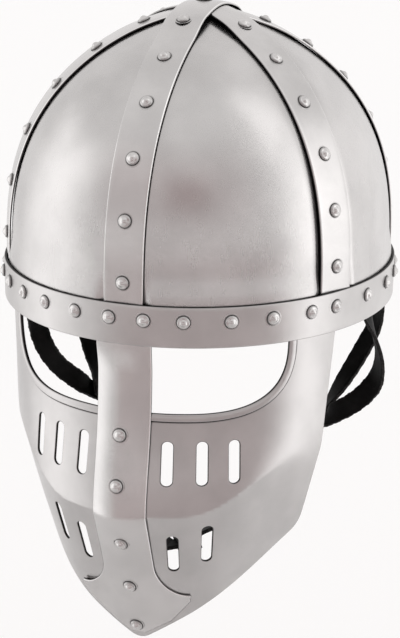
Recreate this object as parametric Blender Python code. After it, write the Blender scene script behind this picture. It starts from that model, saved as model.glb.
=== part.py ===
"""A spangenhelm: a six-segment riveted steel crown with a brow band, a pierced face guard with a
nose strip, and a leather chin strap.

The frame is the wearer's: -Y is the front, +X the wearer's left, +Z up, and the origin is the
middle of the opening that the head goes into, in the plane of the brow band's lower edge.
The object is one rigid assembly. Each piece is its own closed mesh, and neighbours that touch on
the real helmet keep the named seat gap to each other.
"""

import math

import bmesh
import bpy
import numpy as np
from mathutils import Vector
from mathutils.geometry import delaunay_2d_cdt

# Crown, measured on the outer face of the plates
CROWN_HALF_WIDTH = 0.1078
CROWN_HALF_LENGTH = 0.1181
CROWN_RISE = 0.1380
CROWN_RADIAL_POWER = 1.61
CROWN_RISE_POWER = 2.64
PLATE_THICKNESS = 0.0012
PLATE_FOOT = 0.0005
SEGMENTS = 6
APEX_HOLE_RADIUS = 0.009

# Crown strips, riveted over the seams between the plates
STRIP_WIDTH = 0.022
STRIP_THICKNESS = 0.0012
STRIP_FOOT = 0.006
CROSSING_HALF_LENGTH = 0.026
CROSSING_RAMP = 0.022

# Brow band, outermost, round the foot of the crown
BAND_HEIGHT = 0.022
BAND_THICKNESS = 0.0015

# Small clearance that keeps touching pieces apart
SEAT_GAP = 0.00042

# Rivet heads, and where they sit
RIVET_RADIUS = 0.0036
RIVET_HEIGHT = 0.0026
RIVET_SUNK = 0.0006
RIVET_SIDES = 6
RIVET_SHOULDER = 0.45
RIVET_CAP_SHARE = 0.6
BAND_RIVET_HEIGHT = 0.0142
BAND_RIVET_AZIMUTHS = (
    -3.3, 5.7, 15.6, 27.5, 38.6, 50.4, 59.2, 74.0, 88.6, 101.0, 113.0, 125.0, 137.0, 149.0, 161.0, 173.0,
    185.0, 197.0, 209.0, 221.0, 233.0, 245.0, 257.0, 269.0, 280.0, 291.0, 302.5, 314.0, 325.1, 335.9, 346.8,
)
MIDDLE_RIVET_PITCH = 0.0320
MIDDLE_RIVETS_EACH_SIDE = 6
FRONT_RIVET_START = 0.0135
FRONT_RIVET_PITCH = 0.0298
FRONT_RIVETS = 6
REAR_RIVET_START = 0.0210
REAR_RIVET_PITCH = 0.0280
REAR_RIVETS = 6

# Face guard: a curved plate, creased across at mouth height
GUARD_THICKNESS = 0.0015
GUARD_SEAT_GAP = 0.0006
GUARD_HEAD = 0.0190
GUARD_CHIN_DROP = 0.1810
CREASE_DROP = 0.0950
CREASE_SIDE_RISE = 0.0270
CREASE_LEVEL_AZIMUTH = 16.0
CREASE_END_AZIMUTH = 50.0
CREASE_BULGE = 0.0090
SIDE_DRAW_IN = 0.0022
CHIN_SLOPE = 0.36
CHIN_SIDE_SLOPE = 0.17
CHIN_SIDE_CURVE_LENGTH = 1.25
BULGE_EASE = 1.7
GUARD_PLAN_POWER = 1.87
GUARD_TOP_AZIMUTH = 63.6
GUARD_CORNER_AZIMUTH = 56.2
GUARD_CORNER_DROP = 0.1165
CHIN_ROUNDING = 0.008
CHIN_POINT_SHARE = 0.5
CORNER_ROUNDING = 0.007
BLANK_RADIUS = 0.105
NORMAL_TURN = 0.5
NORMAL_RISE = 0.0005

# Eye openings, each with a raised hem
EYE_INNER_AZIMUTH = 6.6
EYE_OUTER_AZIMUTH = 44.9
EYE_DROP = 0.0380
EYE_HEAD = 0.0030
EYE_CORNER_POWER = 2.9
EYE_CORNER_START = 0.2
HEM_WIDTH = 0.0042
HEM_RISE = 0.0008

# Breathing slots, three above the crease and two below on each side
SLOT_LENGTH = 0.0246
SLOT_WIDTH = 0.0060
UPPER_SLOT_AZIMUTHS = (11.7, 20.7, 29.3)
UPPER_SLOT_MIDDLE_DROP = 0.0653
LOWER_SLOT_AZIMUTHS = (13.1, 22.4)
LOWER_SLOT_MIDDLE_DROPS = (0.1197, 0.1140)

# Nose strip: a riveted strip down the middle of the guard, with an anchor-shaped foot
NOSE_HALF_WIDTH = 0.0152
NOSE_THICKNESS = 0.0012
NOSE_CROWN = 0.0012
NOSE_HEAD = 0.0054
NOSE_STEP_LENGTH = 0.022
NOSE_STEP_SHARE = 0.75
NOSE_FOOT_SETBACK = 0.0035
NOSE_FOOT_DROP = GUARD_CHIN_DROP - NOSE_FOOT_SETBACK
NOSE_TIP_HALF_WIDTH = 0.004
FLUKE_HALF_SPAN = 0.0330
FLUKE_TIP_RISE = 0.0285
FLUKE_NECK_RISE = 0.0485
FLUKE_DEPTH = 0.0045
FLUKE_TIP_INSET = 0.0005
FLUKE_UNDER_SHARE = 0.6
FLUKE_UNDER_RISE = 0.0095
NOSE_RIVET_SHARES = (0.2845, 0.4394, 0.6310, 0.8085, 0.9690)

# Leather straps, riveted inside the crown and meeting under each cheek
STRAP_WIDTH = 0.0120
STRAP_THICKNESS = 0.0020
CLASP_LENGTH = 0.012
CLASP_WALL = 0.002
CLASP_CLEARANCE = 0.0020
FRONT_LEG_LAYER = 0
REAR_LEG_LAYER = 1
CHIN_LAYER = 2
# Each row is a place on the strap's middle line, as shares of the crown's half width, its half length
# and the chin's drop, and the direction of the strap's width there, on the wearer's left
FRONT_LEG_SHARES = (
    ((0.962, -0.119, 0.077), (0.11, 0.99, 0.0)),
    ((0.963, -0.114, 0.000), (0.11, 0.99, 0.0)),
    ((0.986, -0.034, -0.094), (-0.4, 0.8, 0.3)),
    ((1.002, 0.030, -0.182), (-0.5, 0.7, 0.4)),
    ((0.983, 0.049, -0.256), (-0.5, 0.5, 0.7)),
    ((0.930, 0.039, -0.309), (-0.5, 0.3, 0.8)),
    ((0.855, 0.027, -0.351), (-0.5, 0.2, 0.84)),
    ((0.764, 0.038, -0.390), (-0.3, 0.4, 0.8)),
    ((0.694, 0.076, -0.428), (0.27, 0.73, 0.58)),
    ((0.633, 0.135, -0.459), (0.27, 0.73, 0.58)),
)
REAR_LEG_SHARES = (
    ((0.923, 0.373, 0.077), (-0.41, 0.91, 0.0)),
    ((0.923, 0.373, 0.000), (-0.41, 0.91, 0.0)),
    ((0.925, 0.373, -0.066), (-0.5, 0.85, 0.1)),
    ((0.901, 0.359, -0.141), (-0.65, 0.7, 0.3)),
    ((0.840, 0.317, -0.227), (-0.75, 0.55, 0.3)),
    ((0.766, 0.249, -0.319), (-0.75, 0.6, 0.1)),
    ((0.701, 0.190, -0.396), (-0.52, 0.755, -0.35)),
    ((0.634, 0.098, -0.466), (-0.52, 0.755, -0.35)),
)
CHIN_RUN_SHARES = (
    ((0.672, 0.149, -0.427), (-0.52, 0.755, -0.35)),
    ((0.627, 0.088, -0.473), (-0.52, 0.755, -0.35)),
    ((0.584, 0.034, -0.533), (-0.3, 0.9, -0.2)),
    ((0.506, -0.025, -0.624), (-0.2, 0.95, -0.1)),
    ((0.357, -0.173, -0.732), (-0.1, 1.0, 0.0)),
    ((0.176, -0.300, -0.793), (0.0, 1.0, 0.0)),
    ((0.102, -0.369, -0.819), (0.0, 1.0, 0.0)),
    ((0.000, -0.415, -0.832), (0.0, 1.0, 0.0)),
)

# Fineness of the faceted solids
PLATE_ROWS = 9
PLATE_COLUMNS = 9
PLATE_ROW_POWER = 1.25
PROFILE_STEPS = 400
STRIP_STEPS = 44
BAND_STEPS = 72
GUARD_COLUMNS = 24
GUARD_ROWS_ABOVE = 11
GUARD_ROWS_BELOW = 9
EDGE_STEP = 0.0075
NOSE_COLUMNS = 6
NOSE_ROWS_ABOVE = 11
NOSE_ROWS_BELOW = 9
KEEP_OFF = 0.0022
ARC_STEPS = 5
EYE_STEPS = 10
FLUKE_STEPS = 8
STRAP_STEPS_PER_SPAN = 2
HALVINGS = 30
SEAT_REACH = 0.02
SLOPE_REACH = 0.002
NEAR_APEX = 0.001
FILL_EPSILON = 0.0000001
NEAR_ZERO = 0.000000001
# A direction that no rivet points along, to set its sides out from
OFF_AXIS = (0.31, 0.52, 0.79)

STEEL = (0.43, 0.42, 0.42, 1.0)
STEEL_ROUGHNESS = 0.32
LEATHER = (0.012, 0.011, 0.011, 1.0)
LEATHER_ROUGHNESS = 0.6


def clear_scene():
    """Removes every object that the scene starts with."""
    for thing in list(bpy.data.objects):
        bpy.data.objects.remove(thing, do_unlink=True)


def material(name, colour, metallic, roughness):
    """A plain Principled material."""
    made = bpy.data.materials.new(name)
    made.use_nodes = True
    shader = made.node_tree.nodes["Principled BSDF"]
    shader.inputs["Base Color"].default_value = colour
    shader.inputs["Metallic"].default_value = metallic
    shader.inputs["Roughness"].default_value = roughness
    return made


def smoothstep(share):
    """0 to 1 with level ends."""
    share = np.clip(share, 0.0, 1.0)
    return share * share * (3.0 - 2.0 * share)


def unit(vectors):
    """Vectors scaled to length one along the last axis."""
    return vectors / np.linalg.norm(vectors, axis=-1, keepdims=True)


def mesh_object(name, points, faces, surface):
    """An object from points and faces, with its faces turned outwards."""
    mesh = bpy.data.meshes.new(name)
    mesh.from_pydata([tuple(point) for point in points], [], [tuple(face) for face in faces])
    shape = bmesh.new()
    shape.from_mesh(mesh)
    bmesh.ops.recalc_face_normals(shape, faces=shape.faces)
    shape.to_mesh(mesh)
    shape.free()
    mesh.materials.append(surface)
    made = bpy.data.objects.new(name, mesh)
    bpy.context.collection.objects.link(made)
    return made


def grid_faces(rows, columns, start=0):
    """Quads between neighbouring rows and columns of a grid of points."""
    corner = start + np.arange(rows * columns).reshape(rows, columns)
    quads = (corner[:-1, :-1], corner[:-1, 1:], corner[1:, 1:], corner[1:, :-1])
    return np.stack([quad.ravel() for quad in quads], axis=1).tolist()


def slab_object(name, outer, inner, surface):
    """A closed plate between two grids of the same shape, walled round all four sides."""
    rows, columns = outer.shape[:2]
    count = rows * columns
    points = np.concatenate([outer.reshape(-1, 3), inner.reshape(-1, 3)])
    faces = grid_faces(rows, columns) + grid_faces(rows, columns, count)
    number = np.arange(count).reshape(rows, columns)
    border = np.concatenate([number[0, :], number[1:, -1], number[-1, -2::-1], number[-2:0:-1, 0]])
    after = np.roll(border, -1)
    faces += np.stack([border, after, after + count, border + count], axis=1).tolist()
    return mesh_object(name, points, faces, surface)


def ring_object(name, loops, surface):
    """A closed ring from loops of points, one loop per corner of its section."""
    corners, steps = loops.shape[:2]
    number = np.arange(corners * steps).reshape(corners, steps)
    faces = []
    for corner in range(corners):
        this, following = number[corner], number[(corner + 1) % corners]
        quads = (this, np.roll(this, -1), np.roll(following, -1), following)
        faces += np.stack(quads, axis=1).tolist()
    return mesh_object(name, loops.reshape(-1, 3), faces, surface)


def apply_boolean(target, cutter, operation):
    """Cuts or joins with another object, keeps the result as the target's mesh and drops the other."""
    step = target.modifiers.new(operation.title(), "BOOLEAN")
    step.operation = operation
    step.object = cutter
    step.solver = "EXACT"
    cutter.hide_render = True
    cutter.display_type = "WIRE"
    bpy.context.view_layer.update()
    graph = bpy.context.evaluated_depsgraph_get()
    result = bpy.data.meshes.new_from_object(target.evaluated_get(graph))
    target.modifiers.remove(step)
    target.data = result
    bpy.data.objects.remove(cutter, do_unlink=True)


def crown_radius(azimuth, grow=0.0):
    """Distance from the axis to the crown's wall at an azimuth from the front, in radians."""
    half_width, half_length = CROWN_HALF_WIDTH + grow, CROWN_HALF_LENGTH + grow
    return 1.0 / np.sqrt((np.sin(azimuth) / half_width) ** 2 + (np.cos(azimuth) / half_length) ** 2)


def crown_point(azimuth, climb, grow=0.0):
    """A point on the crown above the brow band: climb runs from 0 at its top edge to pi / 2 at the apex."""
    azimuth, climb = np.broadcast_arrays(azimuth, climb)
    radius = crown_radius(azimuth, grow) * np.cos(climb) ** (2.0 / CROWN_RADIAL_POWER)
    height = BAND_HEIGHT + (CROWN_RISE + grow) * np.sin(climb) ** (2.0 / CROWN_RISE_POWER)
    return np.stack([radius * np.sin(azimuth), -radius * np.cos(azimuth), height], axis=-1)


def crown_field(points, grow):
    """Below 0 inside the crown grown by a distance, 0 on it, above 0 outside."""
    across = np.hypot(points[..., 0] / (CROWN_HALF_WIDTH + grow), points[..., 1] / (CROWN_HALF_LENGTH + grow))
    above = np.maximum(points[..., 2] - BAND_HEIGHT, 0.0) / (CROWN_RISE + grow)
    return across**CROWN_RADIAL_POWER + above**CROWN_RISE_POWER - 1.0


def seat_on_crown(points, outward, grow):
    """Slides points along their outward directions until they lie on the grown crown."""
    grow = np.broadcast_to(grow, points.shape[:-1])
    low = np.full(points.shape[:-1], -SEAT_REACH)
    high = np.full(points.shape[:-1], SEAT_REACH)
    for _ in range(HALVINGS):
        middle = (low + high) / 2
        outside = crown_field(points + middle[..., None] * outward, grow) > 0
        high = np.where(outside, middle, high)
        low = np.where(outside, low, middle)
    return points + middle[..., None] * outward


def half_meridian(azimuth):
    """The crown's outer profile at an azimuth, from the band's top edge to the apex, finely sampled."""
    return crown_point(math.radians(azimuth), np.linspace(0.0, math.pi / 2, PROFILE_STEPS))


def along(points, distances):
    """Points at distances along a polyline."""
    run = np.concatenate([[0.0], np.cumsum(np.linalg.norm(np.diff(points, axis=0), axis=1))])
    return np.stack([np.interp(distances, run, points[:, axis]) for axis in range(3)], axis=-1)


def length_of(points):
    """Length of a polyline."""
    return float(np.linalg.norm(np.diff(points, axis=0), axis=1).sum())


def crown_plate(index, steel):
    """One of the six crown plates, between two seams that the strips cover."""
    seam = math.radians(360.0 / SEGMENTS * index)
    sweep = math.radians(360.0 / SEGMENTS)
    top = math.acos((APEX_HOLE_RADIUS / CROWN_HALF_WIDTH) ** (CROWN_RADIAL_POWER / 2))
    climb = top * np.linspace(0.0, 1.0, PLATE_ROWS) ** PLATE_ROW_POWER
    faces = []
    for grow in (0.0, -PLATE_THICKNESS):
        share = np.linspace(0.0, 1.0, PLATE_COLUMNS)[None, :]
        radius = crown_radius(seam, grow) * np.cos(climb) ** (2.0 / CROWN_RADIAL_POWER)
        inset = (SEAT_GAP / radius)[:, None]
        azimuth = seam + inset + (sweep - 2 * inset) * share
        sheet = crown_point(azimuth, climb[:, None], grow)
        foot = sheet[:1].copy()
        foot[..., 2] = PLATE_FOOT
        faces.append(np.concatenate([foot, sheet]))
    return slab_object(f"crown_plate_{index + 1}", faces[0], faces[1], steel)


def strip_lift(distance, layer):
    """How far a strip stands off the plates at a distance from the apex: it steps up over those beneath."""
    near = 1.0 - smoothstep((distance - CROSSING_HALF_LENGTH) / CROSSING_RAMP)
    return SEAT_GAP + layer * (STRIP_THICKNESS + SEAT_GAP) * near


def strip_middle_line(azimuth):
    """A strip's run over the crown from one foot to the other, and each place's distance from the apex."""
    front, back = half_meridian(azimuth), half_meridian(azimuth + 180.0)
    foot = STRIP_FOOT - BAND_HEIGHT
    start = front[:1] + [0.0, 0.0, foot]
    end = back[:1] + [0.0, 0.0, foot]
    line = np.concatenate([start, front, back[-2::-1], end])
    front_length = length_of(line[: len(front) + 1])
    total = length_of(line)
    places = np.linspace(0.0, total, STRIP_STEPS + 1)
    return along(line, places), np.abs(places - front_length)


def crown_strip(name, azimuth, layer, rivets, steel):
    """A steel strip over the crown, seated on it across its width, with its rivet heads joined on."""
    middle, distance = strip_middle_line(azimuth)
    direction = math.radians(azimuth)
    sideways = np.array([math.cos(direction), math.sin(direction), 0.0])
    tangent = unit(np.gradient(middle, axis=0))
    outward = unit(np.cross(sideways, tangent))
    outward *= np.sign((outward * (middle - [0.0, 0.0, BAND_HEIGHT])).sum(axis=1, keepdims=True) + NEAR_ZERO)
    across = np.array([-0.5, 0.0, 0.5]) * STRIP_WIDTH
    spread = middle[:, None, :] + across[None, :, None] * sideways
    normals = np.repeat(outward[:, None, :], len(across), axis=1)
    lift = strip_lift(distance, layer)[:, None]
    inner = seat_on_crown(spread, normals, lift)
    outer = seat_on_crown(spread, normals, lift + STRIP_THICKNESS)
    made = slab_object(name, outer, inner, steel)
    heads = [rivet_seat(azimuth_of, run, layer) for azimuth_of, run in rivets]
    return with_rivets(made, heads, steel)


def rivet_seat(azimuth, run, layer):
    """Where a rivet head sits on a strip, run metres above the band's top edge, and its outward direction."""
    line = half_meridian(azimuth)
    total = length_of(line)
    place = along(line, [min(run, total)])[0]
    ahead = along(line, [min(run + SLOPE_REACH, total)])[0]
    behind = along(line, [max(run - SLOPE_REACH, 0.0)])[0]
    direction = math.radians(azimuth)
    sideways = np.array([math.cos(direction), math.sin(direction), 0.0])
    outward = unit(np.cross(ahead - behind, sideways))
    outward = outward * np.sign(outward @ (place - [0.0, 0.0, BAND_HEIGHT]))
    if total - run < NEAR_APEX:
        outward = np.array([0.0, 0.0, 1.0])
    lift = strip_lift(np.array(total - run), layer) + STRIP_THICKNESS
    seat = seat_on_crown(place[None], outward[None], np.array([lift]))[0]
    return seat, outward


def head_points(seat, outward):
    """A rivet head's points: a short cylinder with a domed cap, its foot sunk into what carries it."""
    side = unit(np.cross(outward, OFF_AXIS))
    other = np.cross(outward, side)
    turn = np.arange(RIVET_SIDES) * 2 * math.pi / RIVET_SIDES
    circle = np.cos(turn)[:, None] * side + np.sin(turn)[:, None] * other
    rings = (
        seat - RIVET_SUNK * outward + RIVET_RADIUS * circle,
        seat + RIVET_SHOULDER * RIVET_HEIGHT * outward + RIVET_RADIUS * circle,
        seat + RIVET_HEIGHT * outward + RIVET_CAP_SHARE * RIVET_RADIUS * circle,
    )
    return np.concatenate(rings)


def head_faces(start):
    """Faces of one rivet head whose points begin at a number."""
    ring = np.arange(RIVET_SIDES)
    after = np.roll(ring, -1)
    faces = [(start + ring).tolist(), (start + 2 * RIVET_SIDES + ring).tolist()]
    for level in (start, start + RIVET_SIDES):
        quads = (level + ring, level + after, level + RIVET_SIDES + after, level + RIVET_SIDES + ring)
        faces += np.stack(quads, axis=1).tolist()
    return faces


def with_rivets(carrier, heads, steel):
    """Joins rivet heads to the piece that carries them."""
    points = np.concatenate([head_points(seat, outward) for seat, outward in heads])
    faces = []
    for number in range(len(heads)):
        faces += head_faces(number * 3 * RIVET_SIDES)
    cutter = mesh_object(f"{carrier.name}_heads", points, faces, steel)
    apply_boolean(carrier, cutter, "UNION")
    return carrier


def middle_strip_rivets():
    """Rivets of the front to back strip: one at the apex and an even row down each end."""
    places = []
    for azimuth in (0.0, 180.0):
        total = length_of(half_meridian(azimuth))
        first = 0 if azimuth == 0.0 else 1
        for step in range(first, MIDDLE_RIVETS_EACH_SIDE + 1):
            places.append((azimuth, total - step * MIDDLE_RIVET_PITCH))
    return places


def diagonal_strip_rivets(azimuth):
    """Rivets of a slanting strip: a row up its front end and one up its rear end."""
    front = [(azimuth, FRONT_RIVET_START + step * FRONT_RIVET_PITCH) for step in range(FRONT_RIVETS)]
    rear = [(azimuth + 180.0, REAR_RIVET_START + step * REAR_RIVET_PITCH) for step in range(REAR_RIVETS)]
    return front + rear


def band_inner_grow():
    """How far the brow band's inner face stands outside the plates."""
    return 2 * SEAT_GAP + STRIP_THICKNESS


def brow_band(steel):
    """The riveted band round the brow."""
    azimuth = np.arange(BAND_STEPS) * 2 * math.pi / BAND_STEPS
    loops = []
    inner, outer = band_inner_grow(), band_inner_grow() + BAND_THICKNESS
    for grow, height in ((outer, 0.0), (outer, BAND_HEIGHT), (inner, BAND_HEIGHT), (inner, 0.0)):
        radius = crown_radius(azimuth, grow)
        level = np.full(BAND_STEPS, height)
        loops.append(np.stack([radius * np.sin(azimuth), -radius * np.cos(azimuth), level], axis=-1))
    made = ring_object("brow_band", np.array(loops), steel)
    heads = []
    for degrees in BAND_RIVET_AZIMUTHS:
        angle = math.radians(degrees)
        radius = float(crown_radius(angle, outer))
        seat = np.array([radius * math.sin(angle), -radius * math.cos(angle), BAND_RIVET_HEIGHT])
        slope = np.array([
            seat[0] / (CROWN_HALF_WIDTH + outer) ** 2, seat[1] / (CROWN_HALF_LENGTH + outer) ** 2, 0.0
        ])
        heads.append((seat, unit(slope)))
    return with_rivets(made, heads, steel)


def crease_drop(azimuth):
    """How far below the brow plane the guard's crease lies at an azimuth in degrees."""
    span = CREASE_END_AZIMUTH - CREASE_LEVEL_AZIMUTH
    return CREASE_DROP - CREASE_SIDE_RISE * smoothstep((np.abs(azimuth) - CREASE_LEVEL_AZIMUTH) / span)


def guard_radius(azimuth, height):
    """Distance from the axis to the guard's outer face, at an azimuth in degrees and a height."""
    set_in = -PLATE_THICKNESS - GUARD_SEAT_GAP
    half_width, half_length = CROWN_HALF_WIDTH + set_in, CROWN_HALF_LENGTH + set_in
    crease = crease_drop(azimuth)
    down = np.clip(-height / crease, 0.0, 1.0)
    below = np.maximum(-height - crease, 0.0)
    bulge = smoothstep(down**BULGE_EASE)
    across = half_width - SIDE_DRAW_IN * down**2 - CHIN_SIDE_SLOPE * below - below**2 / CHIN_SIDE_CURVE_LENGTH
    forward = half_length + CREASE_BULGE * bulge - CHIN_SLOPE * below
    power = 2.0 + (GUARD_PLAN_POWER - 2.0) * smoothstep(-height / CREASE_DROP)
    angle = np.radians(azimuth)
    spread = (np.abs(np.sin(angle)) / across) ** power + (np.abs(np.cos(angle)) / forward) ** power
    return spread ** (-1.0 / power)


def guard_point(azimuth, height):
    """A point on the guard's outer face."""
    radius = guard_radius(azimuth, height)
    angle = np.radians(azimuth)
    return np.stack([radius * np.sin(angle), -radius * np.cos(angle), height], axis=-1)


def guard_normal(azimuth, height):
    """Outward direction of the guard's outer face, from its slopes on both sides of a point."""
    round_it = guard_point(azimuth + NORMAL_TURN, height) - guard_point(azimuth - NORMAL_TURN, height)
    up_it = guard_point(azimuth, height + NORMAL_RISE) - guard_point(azimuth, height - NORMAL_RISE)
    return unit(np.cross(round_it, up_it))


def bend(flat, out):
    """Bends places of the flat blank (along the arc, height) onto the guard's face, lifted out of it."""
    azimuth = np.degrees(flat[:, 0] / BLANK_RADIUS)
    return guard_point(azimuth, flat[:, 1]) + out * guard_normal(azimuth, flat[:, 1])


def arc_length(degrees):
    """Length along the flat blank of an azimuth."""
    return math.radians(degrees) * BLANK_RADIUS


def rounded(corners, radii):
    """A closed outline whose corners are rounded, each by its own radius, by an arc of Bezier points."""
    corners = np.array(corners)
    outline = []
    for number, (corner, radius) in enumerate(zip(corners, radii)):
        before, after = corners[number - 1], corners[(number + 1) % len(corners)]
        if radius == 0.0:
            outline.append(corner[None])
            continue
        start = corner + radius * unit(before - corner)
        end = corner + radius * unit(after - corner)
        share = np.linspace(0.0, 1.0, ARC_STEPS)[:, None]
        outline.append((1 - share) ** 2 * start + 2 * share * (1 - share) * corner + share**2 * end)
    return np.concatenate(outline)


def guard_outline():
    """Outline of the flat guard: straight sides that lean in, round corners and a round-pointed chin."""
    top, corner = arc_length(GUARD_TOP_AZIMUTH), arc_length(GUARD_CORNER_AZIMUTH)
    side = [(corner, -GUARD_CORNER_DROP), (top, GUARD_HEAD)]
    lower = [(0.0, -GUARD_CHIN_DROP - CHIN_ROUNDING * CHIN_POINT_SHARE)]
    other = [(-top, GUARD_HEAD), (-corner, -GUARD_CORNER_DROP)]
    radii = [CHIN_ROUNDING, CORNER_ROUNDING, 0.0, 0.0, CORNER_ROUNDING]
    return rounded(lower + side + other, radii)


def beside_nose():
    """Place on the flat blank just clear of the nose strip's edge."""
    reach = NOSE_HALF_WIDTH + 2 * SEAT_GAP
    return BLANK_RADIUS * math.asin(reach / float(guard_radius(0.0, -EYE_DROP)))


def eye_outline(inner, head, margin=0.0):
    """Outline of the wearer's left eye opening, level below and rounded at its outer corner."""
    outer = arc_length(EYE_OUTER_AZIMUTH) + margin
    drop = EYE_DROP + margin
    turn = np.linspace(0.0, math.pi / 2, EYE_STEPS)
    middle = inner + (outer - inner) * EYE_CORNER_START
    sweep_x = middle + (outer - middle) * np.sin(turn) ** (2.0 / EYE_CORNER_POWER)
    sweep_z = -drop * np.cos(turn) ** (2.0 / EYE_CORNER_POWER)
    lower = np.stack([sweep_x, sweep_z], axis=1)
    return np.concatenate([[(inner, head), (inner, -drop)], lower, [(outer, head)]])


def slot_outline(azimuth, drop):
    """Outline of a round-ended upright slot."""
    middle, radius = arc_length(azimuth), SLOT_WIDTH / 2
    straight = SLOT_LENGTH / 2 - radius
    turn = np.linspace(0.0, math.pi, ARC_STEPS)
    upper = np.stack([middle + radius * np.cos(turn), -drop + straight + radius * np.sin(turn)], axis=1)
    lower = np.stack([middle - radius * np.cos(turn), -drop - straight - radius * np.sin(turn)], axis=1)
    return np.concatenate([upper, lower])


def mirrored(outline):
    """An outline's copy on the wearer's right."""
    return outline[::-1] * [-1.0, 1.0]


def stepped(outline):
    """A closed outline with its long edges split, so that they bend with the plate."""
    pieces = []
    for start, end in zip(outline, np.roll(outline, -1, axis=0)):
        count = math.ceil(np.linalg.norm(end - start) / EDGE_STEP)
        pieces.append(start + (end - start) * (np.arange(count) / max(count, 1))[:, None])
    return np.concatenate(pieces)


def inside(points, outline):
    """Whether each point lies inside a closed outline: a level ray from it crosses an odd number of edges."""
    after = np.roll(outline, -1, axis=0)
    x, y = points[:, :1], points[:, 1:]
    spans = (outline[:, 1] > y) != (after[:, 1] > y)
    rise = after[:, 1] - outline[:, 1]
    slope = (after[:, 0] - outline[:, 0]) / np.where(rise == 0.0, 1.0, rise)
    return (spans & (x < outline[:, 0] + (y - outline[:, 1]) * slope)).sum(axis=1) % 2 == 1


def creased_places(turns, head, foot, above, below):
    """Inner places of a blank in rows that follow the crease, for arc lengths across it."""
    crease = -crease_drop(np.degrees(turns / BLANK_RADIUS))
    upper = head + (crease - head) * (np.arange(1, above + 1) / above)[:, None]
    lower = crease + (foot - crease) * (np.arange(1, below) / below)[:, None]
    heights = np.concatenate([upper, lower])
    return np.stack([np.broadcast_to(turns, heights.shape), heights], axis=-1).reshape(-1, 2)


def filled(outline, holes, lines, places):
    """Triangles between an outline and its holes, with edges along the lines, through the inner places."""
    loops = [stepped(loop).astype(np.float32).astype(float) for loop in [outline, *holes, *lines]]
    ring = np.concatenate(loops)
    clear = np.linalg.norm(places[:, None] - ring[None], axis=2).min(axis=1) > KEEP_OFF
    edges, start = [], 0
    for loop in loops:
        number = start + np.arange(len(loop))
        edges += np.stack([number, np.roll(number, -1)], axis=1).tolist()
        start += len(loop)
    points = [Vector(place) for place in np.concatenate([ring, places[clear]])]
    found = delaunay_2d_cdt(points, edges, [], 0, FILL_EPSILON, False)
    flat = np.array([tuple(place) for place in found[0]])
    faces = np.array([list(face) for face in found[2]])
    middles = flat[faces].mean(axis=1)
    kept = inside(middles, loops[0])
    for hole in loops[1 : 1 + len(holes)]:
        kept &= ~inside(middles, hole)
    return flat, faces[kept]


def border_of(faces):
    """Edges that only one of the triangles has."""
    edges = np.concatenate([faces[:, [0, 1]], faces[:, [1, 2]], faces[:, [2, 0]]])
    met = {(after, before) for before, after in edges.tolist()}
    return np.array([edge for edge in edges.tolist() if tuple(edge) not in met])


def bent_plate(name, flat, faces, raised, rise, thickness, mapping, surface):
    """A plate bent to shape, with some of its triangles raised out of its outer face."""
    count = len(flat)
    points = np.concatenate([mapping(flat, 0.0), mapping(flat, -thickness), mapping(flat, rise)])
    start, end = border_of(faces).T
    quads = [np.stack([start, end, end + count, start + count], axis=1)]
    if raised.any():
        start, end = border_of(faces[raised]).T
        quads.append(np.stack([start, end, end + 2 * count, start + 2 * count], axis=1))
    whole = faces[~raised].tolist() + (faces[raised] + 2 * count).tolist() + (faces + count).tolist()
    whole += np.concatenate(quads).tolist()
    used = np.unique(np.concatenate([np.ravel(face) for face in whole]))
    renumber = np.zeros(3 * count, int)
    renumber[used] = np.arange(len(used))
    return mesh_object(name, points[used], [renumber[face].tolist() for face in whole], surface)


def face_guard(steel):
    """The pierced and creased guard: cut out flat with its raised hems, then bent to shape."""
    hem = eye_outline(beside_nose(), PLATE_FOOT - SEAT_GAP, HEM_WIDTH)
    holes = [eye_outline(arc_length(EYE_INNER_AZIMUTH), EYE_HEAD)]
    holes += [slot_outline(azimuth, UPPER_SLOT_MIDDLE_DROP) for azimuth in UPPER_SLOT_AZIMUTHS]
    holes += [slot_outline(*place) for place in zip(LOWER_SLOT_AZIMUTHS, LOWER_SLOT_MIDDLE_DROPS)]
    holes += [mirrored(hole) for hole in holes]
    hems = [hem, mirrored(hem)]
    outline = guard_outline()
    turns = np.linspace(-1.0, 1.0, GUARD_COLUMNS + 1) * arc_length(GUARD_TOP_AZIMUTH)
    places = creased_places(turns, GUARD_HEAD, -GUARD_CHIN_DROP, GUARD_ROWS_ABOVE, GUARD_ROWS_BELOW)
    flat, faces = filled(outline, holes, hems, places[inside(places, outline)])
    middles = flat[faces].mean(axis=1)
    raised = inside(middles, hems[0]) | inside(middles, hems[1])
    return bent_plate("face_guard", flat, faces, raised, HEM_RISE, GUARD_THICKNESS, bend, steel)


def nose_outline():
    """Outline of the nose strip: parallel sides, curved flukes at the foot and a pointed end."""
    turn = np.linspace(0.0, math.pi / 2, FLUKE_STEPS)
    neck, tip = NOSE_FOOT_DROP - FLUKE_NECK_RISE, NOSE_FOOT_DROP - FLUKE_TIP_RISE
    across = NOSE_HALF_WIDTH + (FLUKE_HALF_SPAN - NOSE_HALF_WIDTH) * (1 - np.cos(turn))
    fluke = np.stack([across, -neck - (tip - neck) * np.sin(turn)], axis=1)
    under = [
        (FLUKE_HALF_SPAN - FLUKE_TIP_INSET, -tip - FLUKE_DEPTH),
        (FLUKE_UNDER_SHARE * FLUKE_HALF_SPAN, -NOSE_FOOT_DROP + FLUKE_UNDER_RISE),
        (NOSE_TIP_HALF_WIDTH, -NOSE_FOOT_DROP),
    ]
    side = [(NOSE_HALF_WIDTH, NOSE_HEAD), (NOSE_HALF_WIDTH, -CREASE_DROP)]
    right = np.concatenate([side, fluke, under])
    return np.concatenate([right, mirrored(right)])


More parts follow.
